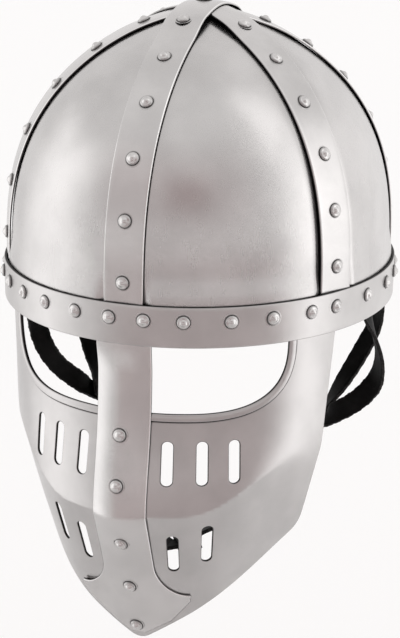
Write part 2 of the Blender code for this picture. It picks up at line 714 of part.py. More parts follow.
def nose_stand_off(height):
    """How far the nose strip stands off the guard: it steps out at the top, over the plates' foot."""
    step = smoothstep((height - NOSE_HEAD + NOSE_STEP_LENGTH) / (NOSE_STEP_LENGTH * NOSE_STEP_SHARE))
    return SEAT_GAP + (PLATE_THICKNESS + GUARD_SEAT_GAP) * step, step


def bend_nose(flat, out):
    """Bends the flat nose strip (across, height) onto the guard's face, domed a little across its width."""
    height = flat[:, 1]
    azimuth = np.degrees(flat[:, 0] / guard_radius(np.zeros(len(flat)), height))
    stand_off, step = nose_stand_off(height)
    dome = np.clip(1.0 - (flat[:, 0] / NOSE_HALF_WIDTH) ** 2, 0.0, 1.0) * NOSE_CROWN * (1.0 - step)
    lift = stand_off + (out + NOSE_THICKNESS) * (1.0 + dome / NOSE_THICKNESS)
    return guard_point(azimuth, height) + lift[:, None] * guard_normal(azimuth, height)


def nose_strip(steel):
    """The nose strip with its anchor-shaped foot and rivet heads."""
    outline = nose_outline()
    turns = np.linspace(-1.0, 1.0, NOSE_COLUMNS + 1) * FLUKE_HALF_SPAN
    places = creased_places(turns, NOSE_HEAD, -NOSE_FOOT_DROP, NOSE_ROWS_ABOVE, NOSE_ROWS_BELOW)
    flat, faces = filled(outline, [], [], places[inside(places, outline)])
    level = np.zeros(len(faces), bool)
    made = bent_plate("nose_strip", flat, faces, level, 0.0, NOSE_THICKNESS, bend_nose, steel)
    heads = []
    for share in NOSE_RIVET_SHARES:
        middle = np.array([[0.0, -share * NOSE_FOOT_DROP]])
        outward = guard_normal(np.zeros(1), middle[:, 1])[0]
        heads.append((bend_nose(middle, 0.0)[0], outward))
    return with_rivets(made, heads, steel)


def smooth_route(rows):
    """Fine points and width directions through a strap's hand-set places, by a Catmull-Rom curve."""
    reach = [CROWN_HALF_WIDTH, CROWN_HALF_LENGTH, GUARD_CHIN_DROP, 1.0, 1.0, 1.0]
    values = np.array([place + width for place, width in rows]) * reach
    padded = np.concatenate([2 * values[:1] - values[1:2], values, 2 * values[-1:] - values[-2:-1]])
    pieces = []
    share = np.arange(STRAP_STEPS_PER_SPAN)[:, None] / STRAP_STEPS_PER_SPAN
    for number in range(len(values) - 1):
        a, b, c, d = padded[number : number + 4]
        pieces.append(0.5 * (
            2 * b + (c - a) * share + (2 * a - 5 * b + 4 * c - d) * share**2
            + (3 * b - a - 3 * c + d) * share**3
        ))
    route = np.concatenate(pieces + [values[-1:]])
    return route[:, :3], unit(route[:, 3:])


def strap_layer(name, rows, side, shift, leather):
    """One leather strap along a route: side is 1 for the wearer's left and -1 for the right."""
    middle, width = smooth_route(rows)
    return strap_object(name, middle * [side, 1.0, 1.0], width * [side, 1.0, 1.0], shift * side, leather)


def strap_directions(middle, width):
    """The directions out of a strap's face and across its width, square to its run."""
    tangent = unit(np.gradient(middle, axis=0))
    face = unit(np.cross(width, tangent))
    return face, np.cross(tangent, face)


def strap_object(name, middle, width, shift, leather):
    """A flat strap swept along its middle line, moved by shift out of its face."""
    face, width = strap_directions(middle, width)
    half = STRAP_WIDTH / 2
    edges = [middle - half * width, middle + half * width]
    sheets = []
    for out in (shift + STRAP_THICKNESS / 2, shift - STRAP_THICKNESS / 2):
        sheets.append(np.stack([edge + out * face for edge in edges], axis=1))
    return slab_object(name, sheets[0], sheets[1], leather)


def chin_strap(shift, leather):
    """The strap's run under the chin, inside the legs' meeting place on each side."""
    left, left_width = smooth_route(CHIN_RUN_SHARES)
    right, right_width = left[-2::-1] * [-1.0, 1.0, 1.0], left_width[-2::-1] * [-1.0, 1.0, 1.0]
    middle = np.concatenate([left, right])
    return strap_object("chin_strap", middle, np.concatenate([left_width, right_width]), shift, leather)


def chin_clasp(shift, steel):
    """The plain clasp at the last place but one of the chin strap: a sleeve that the strap runs through."""
    middle, width = smooth_route(CHIN_RUN_SHARES)
    face, width = (lines[-1 - STRAP_STEPS_PER_SPAN] for lines in strap_directions(middle, width))
    centre = middle[-1 - STRAP_STEPS_PER_SPAN] + shift * face
    outlines = []
    for wall in (CLASP_WALL, 0.0):
        across = STRAP_WIDTH / 2 + CLASP_CLEARANCE + wall
        high = STRAP_THICKNESS / 2 + CLASP_CLEARANCE + wall
        section = np.array([(-across, -high), (across, -high), (across, high), (-across, high)])
        for end in (-CLASP_LENGTH / 2, CLASP_LENGTH / 2):
            outlines.append(centre + section @ [width, face] + end * np.cross(width, face))
    loops = np.array([outlines[0], outlines[1], outlines[3], outlines[2]])
    return ring_object("chin_clasp", loops, steel)


def main():
    """Builds the helmet from the inside out."""
    clear_scene()
    steel = material("steel", STEEL, 1.0, STEEL_ROUGHNESS)
    leather = material("leather", LEATHER, 0.0, LEATHER_ROUGHNESS)
    for index in range(SEGMENTS):
        crown_plate(index, steel)
    crown_strip("strip_front_to_back", 0.0, 2, middle_strip_rivets(), steel)
    crown_strip("strip_left_front_to_right_rear", 60.0, 1, diagonal_strip_rivets(60.0), steel)
    crown_strip("strip_right_front_to_left_rear", -60.0, 0, diagonal_strip_rivets(-60.0), steel)
    brow_band(steel)
    face_guard(steel)
    nose_strip(steel)
    stack = STRAP_THICKNESS + SEAT_GAP
    for side, word in ((1, "left"), (-1, "right")):
        strap_layer(f"strap_{word}_front", FRONT_LEG_SHARES, side, FRONT_LEG_LAYER * stack, leather)
        strap_layer(f"strap_{word}_rear", REAR_LEG_SHARES, side, REAR_LEG_LAYER * stack, leather)
    chin_strap(CHIN_LAYER * stack, leather)
    chin_clasp(CHIN_LAYER * stack, steel)


main()
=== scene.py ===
"""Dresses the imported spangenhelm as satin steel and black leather, in a plain pale studio.

The frame is the wearer's: -Y is the front, +X the wearer's left, +Z up, in metres. The origin is the
middle of the opening that the head goes into, in the plane of the brow band's lower edge.
"""

import logging
import math
from collections.abc import Callable
from dataclasses import dataclass
from enum import Enum

import bpy
import numpy as np
from mathutils import Matrix, Vector
from mathutils.geometry import delaunay_2d_cdt


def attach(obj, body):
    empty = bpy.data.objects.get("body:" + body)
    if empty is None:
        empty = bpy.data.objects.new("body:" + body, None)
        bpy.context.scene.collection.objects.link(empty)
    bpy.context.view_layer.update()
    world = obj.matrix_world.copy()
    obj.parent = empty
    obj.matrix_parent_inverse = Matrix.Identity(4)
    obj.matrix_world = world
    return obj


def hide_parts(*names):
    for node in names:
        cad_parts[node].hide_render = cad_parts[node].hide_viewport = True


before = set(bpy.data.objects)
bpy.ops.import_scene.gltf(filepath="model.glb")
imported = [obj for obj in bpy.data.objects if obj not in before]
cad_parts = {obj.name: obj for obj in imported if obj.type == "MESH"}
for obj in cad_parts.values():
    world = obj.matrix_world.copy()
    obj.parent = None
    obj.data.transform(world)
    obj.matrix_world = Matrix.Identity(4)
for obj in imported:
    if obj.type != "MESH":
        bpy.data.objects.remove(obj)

LOG = logging.getLogger("spangenhelm")
ROOT_BODY = "root"
SEAT_GAP = 0.00042
SHARP_ANGLE = math.radians(38.0)
TINY = 1e-12

Array = np.ndarray
Numbers = float | Array
Pair = tuple[float, float]
Colour = tuple[float, float, float, float]
Seat = tuple[Array, Array]


class Slot(Enum):
    """The record's material slots."""

    STEEL = "steel"
    LEATHER = "leather"


class Side(Enum):
    """The wearer's two sides, as the sign of X."""

    LEFT = 1
    RIGHT = -1


def smoothstep(share: Numbers) -> Array:
    """Rises from 0 to 1 with level ends: 3 s squared less 2 s cubed."""
    held = np.clip(share, 0.0, 1.0)
    return held * held * (3.0 - 2.0 * held)


def unit(vectors: Array) -> Array:
    """Vectors scaled to length one along the last axis."""
    return vectors / np.maximum(np.linalg.norm(vectors, axis=-1, keepdims=True), TINY)


def length_of(line: Array) -> float:
    """Length of a polyline."""
    return float(np.linalg.norm(np.diff(line, axis=0), axis=1).sum())


def run_of(line: Array) -> Array:
    """How far along a polyline each of its points lies: the running sum of its steps."""
    return np.concatenate([[0.0], np.cumsum(np.linalg.norm(np.diff(line, axis=0), axis=1))])


def along(line: Array, distances: Array) -> Array:
    """Points at distances along a polyline, straight between its own points.

    Args:
        line: The polyline's points, one per row.
        distances: Distances from its start.

    Returns:
        One point per distance.
    """
    run = run_of(line)
    return np.stack([np.interp(distances, run, line[:, axis]) for axis in range(line.shape[1])], axis=-1)


def grid_quads(rows: int, columns: int, closed: bool = False) -> Array:
    """Quads between neighbouring rows and columns of a grid of points.

    Args:
        rows: Number of rows.
        columns: Number of columns.
        closed: Whether the last column joins the first.

    Returns:
        Four point numbers per quad.
    """
    number = np.arange(rows * columns).reshape(rows, columns)
    after = np.roll(number, -1, axis=1) if closed else number[:, 1:]
    here = number if closed else number[:, :-1]
    return np.stack([here[:-1], after[:-1], after[1:], here[1:]], axis=-1).reshape(-1, 4)


@dataclass
class Shell:
    """Points and faces of one piece, with a mark per point: painted shade and highlights on steel, fibres on
    leather.
    """

    points: Array
    faces: list[list[int]]
    cut: Array
    normals: Array | None = None

    @classmethod
    def swept(cls, sections: Array, cut: Array, closed: bool = False) -> "Shell":
        """A closed profile carried along a path.

        Args:
            sections: Points by place along the path and by corner of the profile.
            cut: The mark of each corner, or of each corner at each place.
            closed: Whether the path comes back to its start.

        Returns:
            The shell, with a cap on each end of an open path.
        """
        rows, corners = sections.shape[:2]
        rings = rows + 1 if closed else rows
        faces = (grid_quads(rings, corners, closed=True) % (rows * corners)).tolist()
        if not closed:
            last = (rows - 1) * corners
            faces += [list(range(corners))[::-1], list(range(last, last + corners))]
        return cls(sections.reshape(-1, 3), faces, np.broadcast_to(cut, (rows, corners)).ravel())


class NodeTree:
    """Short calls for building a procedural material."""

    def __init__(self, name: str) -> None:
        """Starts a material with one Principled shader.

        Args:
            name: The material's name.
        """
        self.material = bpy.data.materials.new(name)
        self.material.use_nodes = True
        self.tree = self.material.node_tree
        self.shader = self.tree.nodes["Principled BSDF"]
        self.places = self.add("ShaderNodeTexCoord").outputs["Object"]

    def add(self, kind: str, **settings: object) -> bpy.types.Node:
        """Adds a node and sets its properties.

        Args:
            kind: The node's type.
            **settings: Its properties.

        Returns:
            The node.
        """
        node = self.tree.nodes.new(kind)
        for name, value in settings.items():
            setattr(node, name, value)
        return node

    def feed(self, socket: bpy.types.NodeSocket, value: object) -> None:
        """Links an output to a socket, or sets a plain value on it.

        Args:
            socket: The socket that takes it.
            value: An output or a plain value.
        """
        if isinstance(value, bpy.types.NodeSocket):
            self.tree.links.new(value, socket)
        else:
            socket.default_value = value

    def maths(self, operation: str, *values: object, clamp: bool = False) -> bpy.types.NodeSocket:
        """One Math node's result.

        Args:
            operation: What it works out.
            *values: Outputs or plain numbers.
            clamp: Whether the result is held from 0 to 1.

        Returns:
            The result.
        """
        node = self.add("ShaderNodeMath", operation=operation, use_clamp=clamp)
        for socket, value in zip(node.inputs, values):
            self.feed(socket, value)
        return node.outputs[0]

    def dot(self, direction: tuple[float, float, float]) -> bpy.types.NodeSocket:
        """How far a place lies along a direction.

        Args:
            direction: The direction, of length one.

        Returns:
            The distance in metres.
        """
        node = self.add("ShaderNodeVectorMath", operation="DOT_PRODUCT")
        self.feed(node.inputs[0], self.places)
        node.inputs[1].default_value = direction
        return node.outputs["Value"]

    def stretched(self, scale: tuple[float, float, float]) -> bpy.types.NodeSocket:
        """Object coordinates scaled along each axis.

        Args:
            scale: The scale along X, Y and Z.

        Returns:
            The scaled place.
        """
        node = self.add("ShaderNodeMapping")
        self.feed(node.inputs["Vector"], self.places)
        node.inputs["Scale"].default_value = scale
        return node.outputs["Vector"]

    def noise(self, scale: float, detail: float = 3.0, vector: object = None) -> bpy.types.NodeSocket:
        """A noise pattern from 0 to 1.

        Args:
            scale: How many features to a metre.
            detail: How many finer layers.
            vector: Where it is read, or None for the object's own coordinates.

        Returns:
            The pattern.
        """
        node = self.add("ShaderNodeTexNoise")
        self.feed(node.inputs["Vector"], vector or self.places)
        node.inputs["Scale"].default_value = scale
        node.inputs["Detail"].default_value = detail
        return node.outputs[0]

    def ramp(self, value: object, source: Pair, result: Pair) -> bpy.types.NodeSocket:
        """Maps a value smoothly from the source range to the result range.

        Args:
            value: The value.
            source: Where the change starts and ends.
            result: What it gives at those two.

        Returns:
            The mapped value.
        """
        node = self.add("ShaderNodeMapRange", interpolation_type="SMOOTHSTEP")
        for number, part in enumerate((value, *source, *result)):
            self.feed(node.inputs[number], part)
        return node.outputs[0]

    def blend(self, share: object, first: object, second: object) -> bpy.types.NodeSocket:
        """A colour between two, by a share.

        Args:
            share: 0 for the first, 1 for the second.
            first: The first colour.
            second: The second colour.

        Returns:
            The colour.
        """
        node = self.add("ShaderNodeMix", data_type="RGBA")
        self.feed(node.inputs["Factor"], share)
        self.feed(node.inputs[6], first)
        self.feed(node.inputs[7], second)
        return node.outputs[2]

    def bump(self, height: object, distance: float, strength: float, before: object = None) -> object:
        """A bump normal of a height pattern, over an earlier one.

        Args:
            height: The height pattern.
            distance: How high it stands, in metres.
            strength: How much of it shows.
            before: The normal that it adds to, or None.

        Returns:
            The normal.
        """
        node = self.add("ShaderNodeBump")
        node.inputs["Distance"].default_value = distance
        node.inputs["Strength"].default_value = strength
        self.feed(node.inputs["Height"], height)
        if before is not None:
            self.feed(node.inputs["Normal"], before)
        return node.outputs["Normal"]


@dataclass(frozen=True)
class SatinSteel:
    """Satin steel: a soft sheen, faint mottling, fine brushing, painted shade on edges and in gaps, painted
    highlights on corners.
    """

    name: str
    tone: Colour = (0.52, 0.507, 0.502, 1.0)
    # The colours of the painted shade and of the painted highlight.
    painted_shade_tone: Colour = (0.03, 0.028, 0.028, 1.0)
    painted_highlight_tone: Colour = (1.0, 0.99, 0.985, 1.0)
    roughness: float = 0.27
    brush: tuple[float, float, float] = (1.0, 1.0, 0.15)
    waviness: float = 0.0
    painted_seam_shade: bool = False
    slot: Slot = Slot.STEEL
    band_top: Pair = (0.0220, 0.0223)
    gap_edge: Pair = (0.0111, 0.0114)
    gap_wide: float = 0.0117
    gap_widest: float = 0.0127
    front_edge: Pair = (0.0, 0.02)
    low_edge: Pair = (0.06, 0.13)
    seam_angles: tuple[float, ...] = (0.0, 60.0, -60.0)
    mottle_scale: float = 38.0
    mottle_range: Pair = (0.3, 0.7)
    lighter_by: float = 1.05
    darker_by: float = 0.93
    streak_scale: float = 500.0
    streak_range: Pair = (0.25, 0.75)
    streak_roughness: float = 0.005
    painted_shade_roughness: float = 0.3
    wave_scale: float = 14.0
    wave_height: float = 0.004

    def painted_gap_shade(self, nodes: NodeTree) -> bpy.types.NodeSocket:
        """Shade in the gaps beside the strips, wide in front by the slanting ones, and above the brow band.

        Args:
            nodes: The material being built.

        Returns:
            A share from 0 to 1.
        """
        falling = (1.0, 0.0)
        painted_shade = nodes.ramp(nodes.dot((0.0, 0.0, 1.0)), self.band_top, falling)
        front = nodes.ramp(nodes.dot((0.0, -1.0, 0.0)), self.front_edge, (0.0, 1.0))
        low = nodes.maths("MULTIPLY", front, nodes.ramp(nodes.dot((0.0, 0.0, 1.0)), self.low_edge, falling))
        for degrees in self.seam_angles:
            angle = math.radians(degrees)
            aside = nodes.maths("ABSOLUTE", nodes.dot((math.cos(angle), math.sin(angle), 0.0)))
            painted_shade = nodes.maths("MAXIMUM", painted_shade, nodes.ramp(aside, self.gap_edge, falling))
            if degrees:
                for area, reach in ((front, self.gap_wide), (low, self.gap_widest)):
                    beside = nodes.ramp(aside, (self.gap_edge[0], reach), falling)
                    wide = nodes.maths("MULTIPLY", area, beside)
                    painted_shade = nodes.maths("MAXIMUM", painted_shade, wide)
        return painted_shade

    def material(self) -> bpy.types.Material:
        """Builds the material.

        Returns:
            The finished material.
        """
        nodes = NodeTree(self.name)
        mark = nodes.add("ShaderNodeAttribute", attribute_name="cut").outputs["Fac"]
        # Marks above 0 and the gap ramps paint shade on edges and in gaps; marks below 0 paint highlights on
        # corners.
        painted_shade = nodes.maths("MAXIMUM", mark, self.painted_gap_shade(nodes) if self.painted_seam_shade else 0.0)
        painted_highlight = nodes.maths("MULTIPLY", mark, -1.0, clamp=True)
        mottle = nodes.noise(self.mottle_scale, detail=4.0)
        lighter = tuple(min(1.0, part * self.lighter_by) for part in self.tone[:3]) + (1.0,)
        darker = tuple(part * self.darker_by for part in self.tone[:3]) + (1.0,)
        unshaded = nodes.blend(nodes.ramp(mottle, self.mottle_range, (0.0, 1.0)), darker, lighter)
        wear_and_painted_light = nodes.blend(painted_highlight, nodes.blend(painted_shade, unshaded, self.painted_shade_tone), self.painted_highlight_tone)
        nodes.feed(nodes.shader.inputs["Base Color"], wear_and_painted_light)
        nodes.shader.inputs["Metallic"].default_value = 1.0
        streaks = nodes.noise(self.streak_scale, 2.0, nodes.stretched(self.brush))
        low, high = self.roughness - self.streak_roughness, self.roughness + self.streak_roughness
        rough = nodes.ramp(streaks, self.streak_range, (low, high))
        # Roughness rises where shade is painted.
        dulled = nodes.maths("ADD", rough, nodes.maths("MULTIPLY", painted_shade, self.painted_shade_roughness))
        nodes.feed(nodes.shader.inputs["Roughness"], dulled)
        relief = nodes.bump(nodes.noise(self.wave_scale, 1.0), self.wave_height, self.waviness)
        nodes.feed(nodes.shader.inputs["Normal"], relief)
        return nodes.material


@dataclass(frozen=True)
class BlackLeather:
    """Black leather with a fine grain, and rough fibres along its cut edges."""

    name: str
    tone: Colour = (0.003, 0.0028, 0.0028, 1.0)
    worn_tone: Colour = (0.007, 0.0065, 0.0063, 1.0)
    fibre_tone: Colour = (0.03, 0.028, 0.0275, 1.0)
    roughness: float = 0.6
    gloss: float = 0.10
    slot: Slot = Slot.LEATHER
    worn_scale: float = 120.0
    worn_range: Pair = (0.45, 0.75)
    fibre_scale: float = 900.0
    fibre_range: Pair = (0.35, 0.65)
    fibre_share: Pair = (0.2, 1.0)
    grain_scale: float = 1100.0
    grain_height: float = 0.0002
    grain_strength: float = 0.5
    crease_scale: float = 260.0
    crease_height: float = 0.0004
    crease_strength: float = 0.4

    def material(self) -> bpy.types.Material:
        """Builds the material.

        Returns:
            The finished material.
        """
        nodes = NodeTree(self.name)
        mark = nodes.add("ShaderNodeAttribute", attribute_name="cut").outputs["Fac"]
        wear_and_painted_light = nodes.ramp(nodes.noise(self.worn_scale, detail=4.0), self.worn_range, (0.0, 1.0))
        face = nodes.blend(wear_and_painted_light, self.tone, self.worn_tone)
        fibres = nodes.ramp(nodes.noise(self.fibre_scale, detail=3.0), self.fibre_range, self.fibre_share)
        edge = nodes.maths("MULTIPLY", mark, fibres)
        nodes.feed(nodes.shader.inputs["Base Color"], nodes.blend(edge, face, self.fibre_tone))
        nodes.shader.inputs["Roughness"].default_value = self.roughness
        nodes.shader.inputs["Specular IOR Level"].default_value = self.gloss
        grain = nodes.add("ShaderNodeTexVoronoi", feature="DISTANCE_TO_EDGE")
        nodes.feed(grain.inputs["Vector"], nodes.places)
        grain.inputs["Scale"].default_value = self.grain_scale
        pebbles = nodes.bump(grain.outputs["Distance"], self.grain_height, self.grain_strength)
        wrinkles = nodes.noise(self.crease_scale, detail=5.0)
        creases = nodes.bump(wrinkles, self.crease_height, self.crease_strength, pebbles)
        nodes.feed(nodes.shader.inputs["Normal"], creases)
        return nodes.material


Finish = SatinSteel | BlackLeather


def add_piece(name: str, shell: Shell, finish: Finish, stands_for: tuple[str, ...] = ()) -> bpy.types.Object:
    """Puts a shell into the scene as one piece of the helmet.

    Args:
        name: The piece's name.
        shell: Its points, faces and edge marks.
        finish: Its finish.
        stands_for: The CAD nodes that it replaces.

    Returns:
        The new object, which rides on the one body.
    """
    mesh = bpy.data.meshes.new(name)
    mesh.from_pydata(shell.points.tolist(), [], shell.faces)
    mesh.polygons.foreach_set("use_smooth", np.ones(len(mesh.polygons), bool))
    # One mark per point: painted shade (above 0) and painted highlight (below 0) on steel, cut fibres on
    # leather.
    mark = mesh.attributes.new("cut", "FLOAT", "POINT")
    mark.data.foreach_set("value", shell.cut.astype(np.float32))
    if shell.normals is None:
        mesh.set_sharp_from_angle(angle=SHARP_ANGLE)
    else:
        mesh.normals_split_custom_set_from_vertices(shell.normals.tolist())
    material = bpy.data.materials.get(finish.name) or finish.material()
    mesh.materials.append(material)
    piece = bpy.data.objects.new(name, mesh)
    bpy.context.scene.collection.objects.link(piece)
    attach(piece, ROOT_BODY)
    if stands_for:
        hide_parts(*stands_for)
    LOG.info("%s: %d faces", name, len(mesh.polygons))
    return piece


@dataclass(frozen=True)
class CrownForm:
    """The dome's outer face: a superellipse profile over an elliptical plan, upright below the band's top."""

    half_width: float = 0.1078
    half_length: float = 0.1181
    rise: float = 0.1380
    radial_power: float = 1.61
    rise_power: float = 2.64
    wall: float = 0.022
    thickness: float = 0.0012
    seat_search: float = 0.02
    seat_halvings: int = 30
    fine_steps: int = 900

    def radius(self, azimuth: Numbers, grow: Numbers = 0.0) -> Array:
        """Distance from the axis to the wall: that of an ellipse.

        Args:
            azimuth: Angle from the front, in radians.
            grow: How far outside the plates' outer face.

        Returns:
            The distance.
        """
        across = np.sin(azimuth) / (self.half_width + grow)
        ahead = np.cos(azimuth) / (self.half_length + grow)
        return 1.0 / np.hypot(across, ahead)

    def point(self, azimuth: Numbers, climb: Numbers, grow: Numbers = 0.0) -> Array:
        """A point on the dome: the radius shrinks by a power of cos, the height grows by one of sin.

        Args:
            azimuth: Angle from the front, in radians.
            climb: From 0 at the band's top edge to a quarter turn at the apex.
            grow: How far outside the plates' outer face.

        Returns:
            Points, one per azimuth and climb.
        """
        azimuth, climb = np.broadcast_arrays(azimuth, climb)
        radius = self.radius(azimuth, grow) * np.cos(climb) ** (2.0 / self.radial_power)
        height = self.wall + (self.rise + grow) * np.sin(climb) ** (2.0 / self.rise_power)
        return np.stack([radius * np.sin(azimuth), -radius * np.cos(azimuth), height], axis=-1)

    def field(self, points: Array, grow: Numbers) -> Array:
        """Below 0 inside the grown dome and above 0 outside: the two powers' sum less one.

        Args:
            points: Places round the dome.
            grow: How far the dome is grown.

        Returns:
            The value at each.
        """
        aside, ahead = self.half_width + grow, self.half_length + grow
        across = np.hypot(points[..., 0] / aside, points[..., 1] / ahead)
        above = np.maximum(points[..., 2] - self.wall, 0.0) / (self.rise + grow)
        return across**self.radial_power + above**self.rise_power - 1.0

    def seat(self, points: Array, outward: Array, grow: Numbers) -> Array:
        """Slides points along their outward directions until they lie on the grown dome, by halving.

        Args:
            points: Points near the dome.
            outward: The direction that each slides in.
            grow: How far outside the plates' outer face they come to lie.

        Returns:
            The points where they rest.
        """
        grow = np.broadcast_to(grow, points.shape[:-1])
        low = np.full(points.shape[:-1], -self.seat_search)
        high = np.full(points.shape[:-1], self.seat_search)
        for _ in range(self.seat_halvings):
            middle = (low + high) / 2
            outside = self.field(points + middle[..., None] * outward, grow) > 0
            high = np.where(outside, middle, high)
            low = np.where(outside, low, middle)
        return points + middle[..., None] * outward

    def meridian(self, azimuth: float) -> Array:
        """The outer profile at an azimuth in degrees, from the band's top edge to the apex."""
        return self.point(math.radians(azimuth), np.linspace(0.0, math.pi / 2, self.fine_steps))


@dataclass
class CrownPlates:
    """The six plates of the dome, between seams that the strips cover."""

    form: CrownForm
    finish: SatinSteel
    count: int = 6
    apex_hole: float = 0.009
    foot: float = 0.0005
    rows: int = 64
    columns: int = 64
    slants: Pair = (60.0, -60.0)
    sink: float = 0.0010
    sink_from: float = 0.0112
    sink_reach: float = 0.0050
    sink_rise: float = 0.012
    sink_front: float = 0.02
    sink_fade: float = 0.7
    sink_fade_from: float = 0.06
    sink_fade_reach: float = 0.07
    swell: float = 0.0016
    swell_height: float = 0.016
    swell_reach: float = 0.004
    seam_closing: float = 0.8
    skirt_rows: int = 4

    def hammered(self, points: Array) -> Array:
        """Draws the plates in beside the slanting strips in front, and out towards the band at their foot.

        Args:
            points: Places on the dome.

        Returns:
            The places, moved along the line from the dome's middle by smoothsteps of their distance from the
            strips' middle lines and of their height.
        """
        near = np.zeros(points.shape[:-1])
        under = np.abs(points[..., 0])
        for degrees in self.slants:
            angle = math.radians(degrees)
            aside = np.abs(points[..., 0] * math.cos(angle) + points[..., 1] * math.sin(angle))
            near = np.maximum(near, 1.0 - smoothstep((aside - self.sink_from) / self.sink_reach))
            under = np.minimum(under, aside)
        rise = points[..., 2] - self.form.wall
        near = near * smoothstep(rise / self.sink_rise) * smoothstep(-points[..., 1] / self.sink_front)
        high = smoothstep((points[..., 2] - self.sink_fade_from) / self.sink_fade_reach)
        near = near * (1.0 - self.sink_fade * high)
        clear = smoothstep((under - self.sink_from) / self.swell_reach)
        foot = (1.0 - smoothstep(rise / self.swell_height)) * clear
        middle = np.array([0.0, 0.0, self.form.wall])
        move = self.swell * foot - self.sink * near
        return points + move[..., None] * unit(points - middle)

    def sheet(self, seam: float, grow: float) -> Array:
        """One face of a plate: even steps up from foot to apex hole, and steps that close up at the seams.

        Args:
            seam: Azimuth of its first seam, in radians.
            grow: How far outside the plates' outer face.

        Returns:
            A grid of points.
        """
        form = self.form
        sweep = 2 * math.pi / self.count
        top = math.acos((self.apex_hole / form.half_width) ** (form.radial_power / 2))
        fine = np.linspace(0.0, top, form.fine_steps)
        run = run_of(form.point(seam + sweep / 2, fine))
        climb = np.interp(np.linspace(0.0, run[-1], self.rows), run, fine)
        radius = form.radius(seam, grow) * np.cos(climb) ** (2.0 / form.radial_power)
        inset = (SEAT_GAP / radius)[:, None]
        even = np.linspace(0.0, 1.0, self.columns)
        share = even - self.seam_closing * np.sin(2 * math.pi * even) / (2 * math.pi)
        azimuth = seam + inset + (sweep - 2 * inset) * share[None, :]
        dome = self.hammered(form.point(azimuth, climb[:, None], grow))
        skirt = np.repeat(dome[:1], self.skirt_rows, axis=0)
        skirt[..., 2] = np.linspace(self.foot, form.wall, self.skirt_rows + 1)[:-1, None]
        return np.concatenate([skirt, dome])

    def build(self) -> None:
        """Builds the plates, each in place of its CAD node."""
        for index in range(self.count):
            seam = 2 * math.pi / self.count * index
            outer, inner = self.sheet(seam, 0.0), self.sheet(seam, -self.form.thickness)
            name = f"crown_plate_{index + 1}"
            add_piece(f"{name}_satin", slab(outer, inner), self.finish, (name,))


def slab(outer: Array, inner: Array) -> Shell:
    """A closed plate between two grids of one shape, walled round its four sides.

    Args:
        outer: Grid of its outer face.
        inner: Grid of its inner face.

    Returns:
        The shell, with no marks.
    """
    rows, columns = outer.shape[:2]
    count = rows * columns
    number = np.arange(count).reshape(rows, columns)
    border = np.concatenate([number[0, :], number[1:, -1], number[-1, -2::-1], number[-2:0:-1, 0]])
    after = np.roll(border, -1)
    front = grid_quads(rows, columns)
    back = grid_quads(rows, columns)[:, ::-1] + count
    walls = np.stack([after, border, border + count, after + count], axis=1)
    points = np.concatenate([outer.reshape(-1, 3), inner.reshape(-1, 3)])
    faces = np.concatenate([front, back, walls]).tolist()
    return Shell(points, faces, np.zeros(2 * count))


@dataclass(frozen=True)
class RoundedBar:
    """Section of a flat bar with rounded outer corners, as corners (across, out) and their marks of painted
    shade and highlight.
    """

    width: float
    thickness: float
    rounding: float = 0.0005
    painted_highlight: Pair = (0.0, 0.0)
    painted_highlight_turns: tuple[Pair, Pair] = ((0.35, 0.75), (0.95, 1.30))
    across_steps: int = 12
    corner_steps: int = 4

    def corners(self) -> tuple[Array, Array]:
        """Runs along the inner face, up one side, round the corner, over the top and down the other side.

        Returns:
            The corners as (across, out) rows, and each one's mark: painted shade above 0, painted highlight
            below 0.
        """
        half, round_off = self.width / 2, self.rounding
        turn = np.linspace(0.0, math.pi / 2, self.corner_steps)
        centre = np.array([half, self.thickness]) - round_off
        arc = centre + round_off * np.stack([np.cos(turn), np.sin(turn)], axis=1)
        inside = np.stack([np.linspace(-half, half, self.across_steps), np.zeros(self.across_steps)], 1)
        top_x = np.linspace(half - round_off, -half + round_off, self.across_steps)[1:-1]
        top = np.stack([top_x, np.full(len(top_x), self.thickness)], 1)
        other = arc[::-1] * [-1.0, 1.0]
        # A painted highlight round the outer corners, by the two highlight shares.
        start, end = (smoothstep((turn - low) / (high - low)) for low, high in self.painted_highlight_turns)
        highlight_share = start * (1.0 - end)
        right, left = (1.0 - np.sin(turn) - share * highlight_share for share in self.painted_highlight)
        # Painted shade: full on the inner face, fading from the walls over the rounded corners.
        marks = [np.ones(self.across_steps), right, np.zeros(len(top_x)), left[::-1]]
        return np.concatenate([inside, arc, top, other]), np.concatenate(marks)


@dataclass(frozen=True)
class StripRun:
    """One crown strip: its CAD node, the azimuth of its front end, its layer at the crossing, its rivets, and
    the share of painted shade on its walls.
    """

    node: str
    azimuth: float
    layer: int
    rivets: tuple[Pair, ...]
    painted_wall_shade: float = 1.0


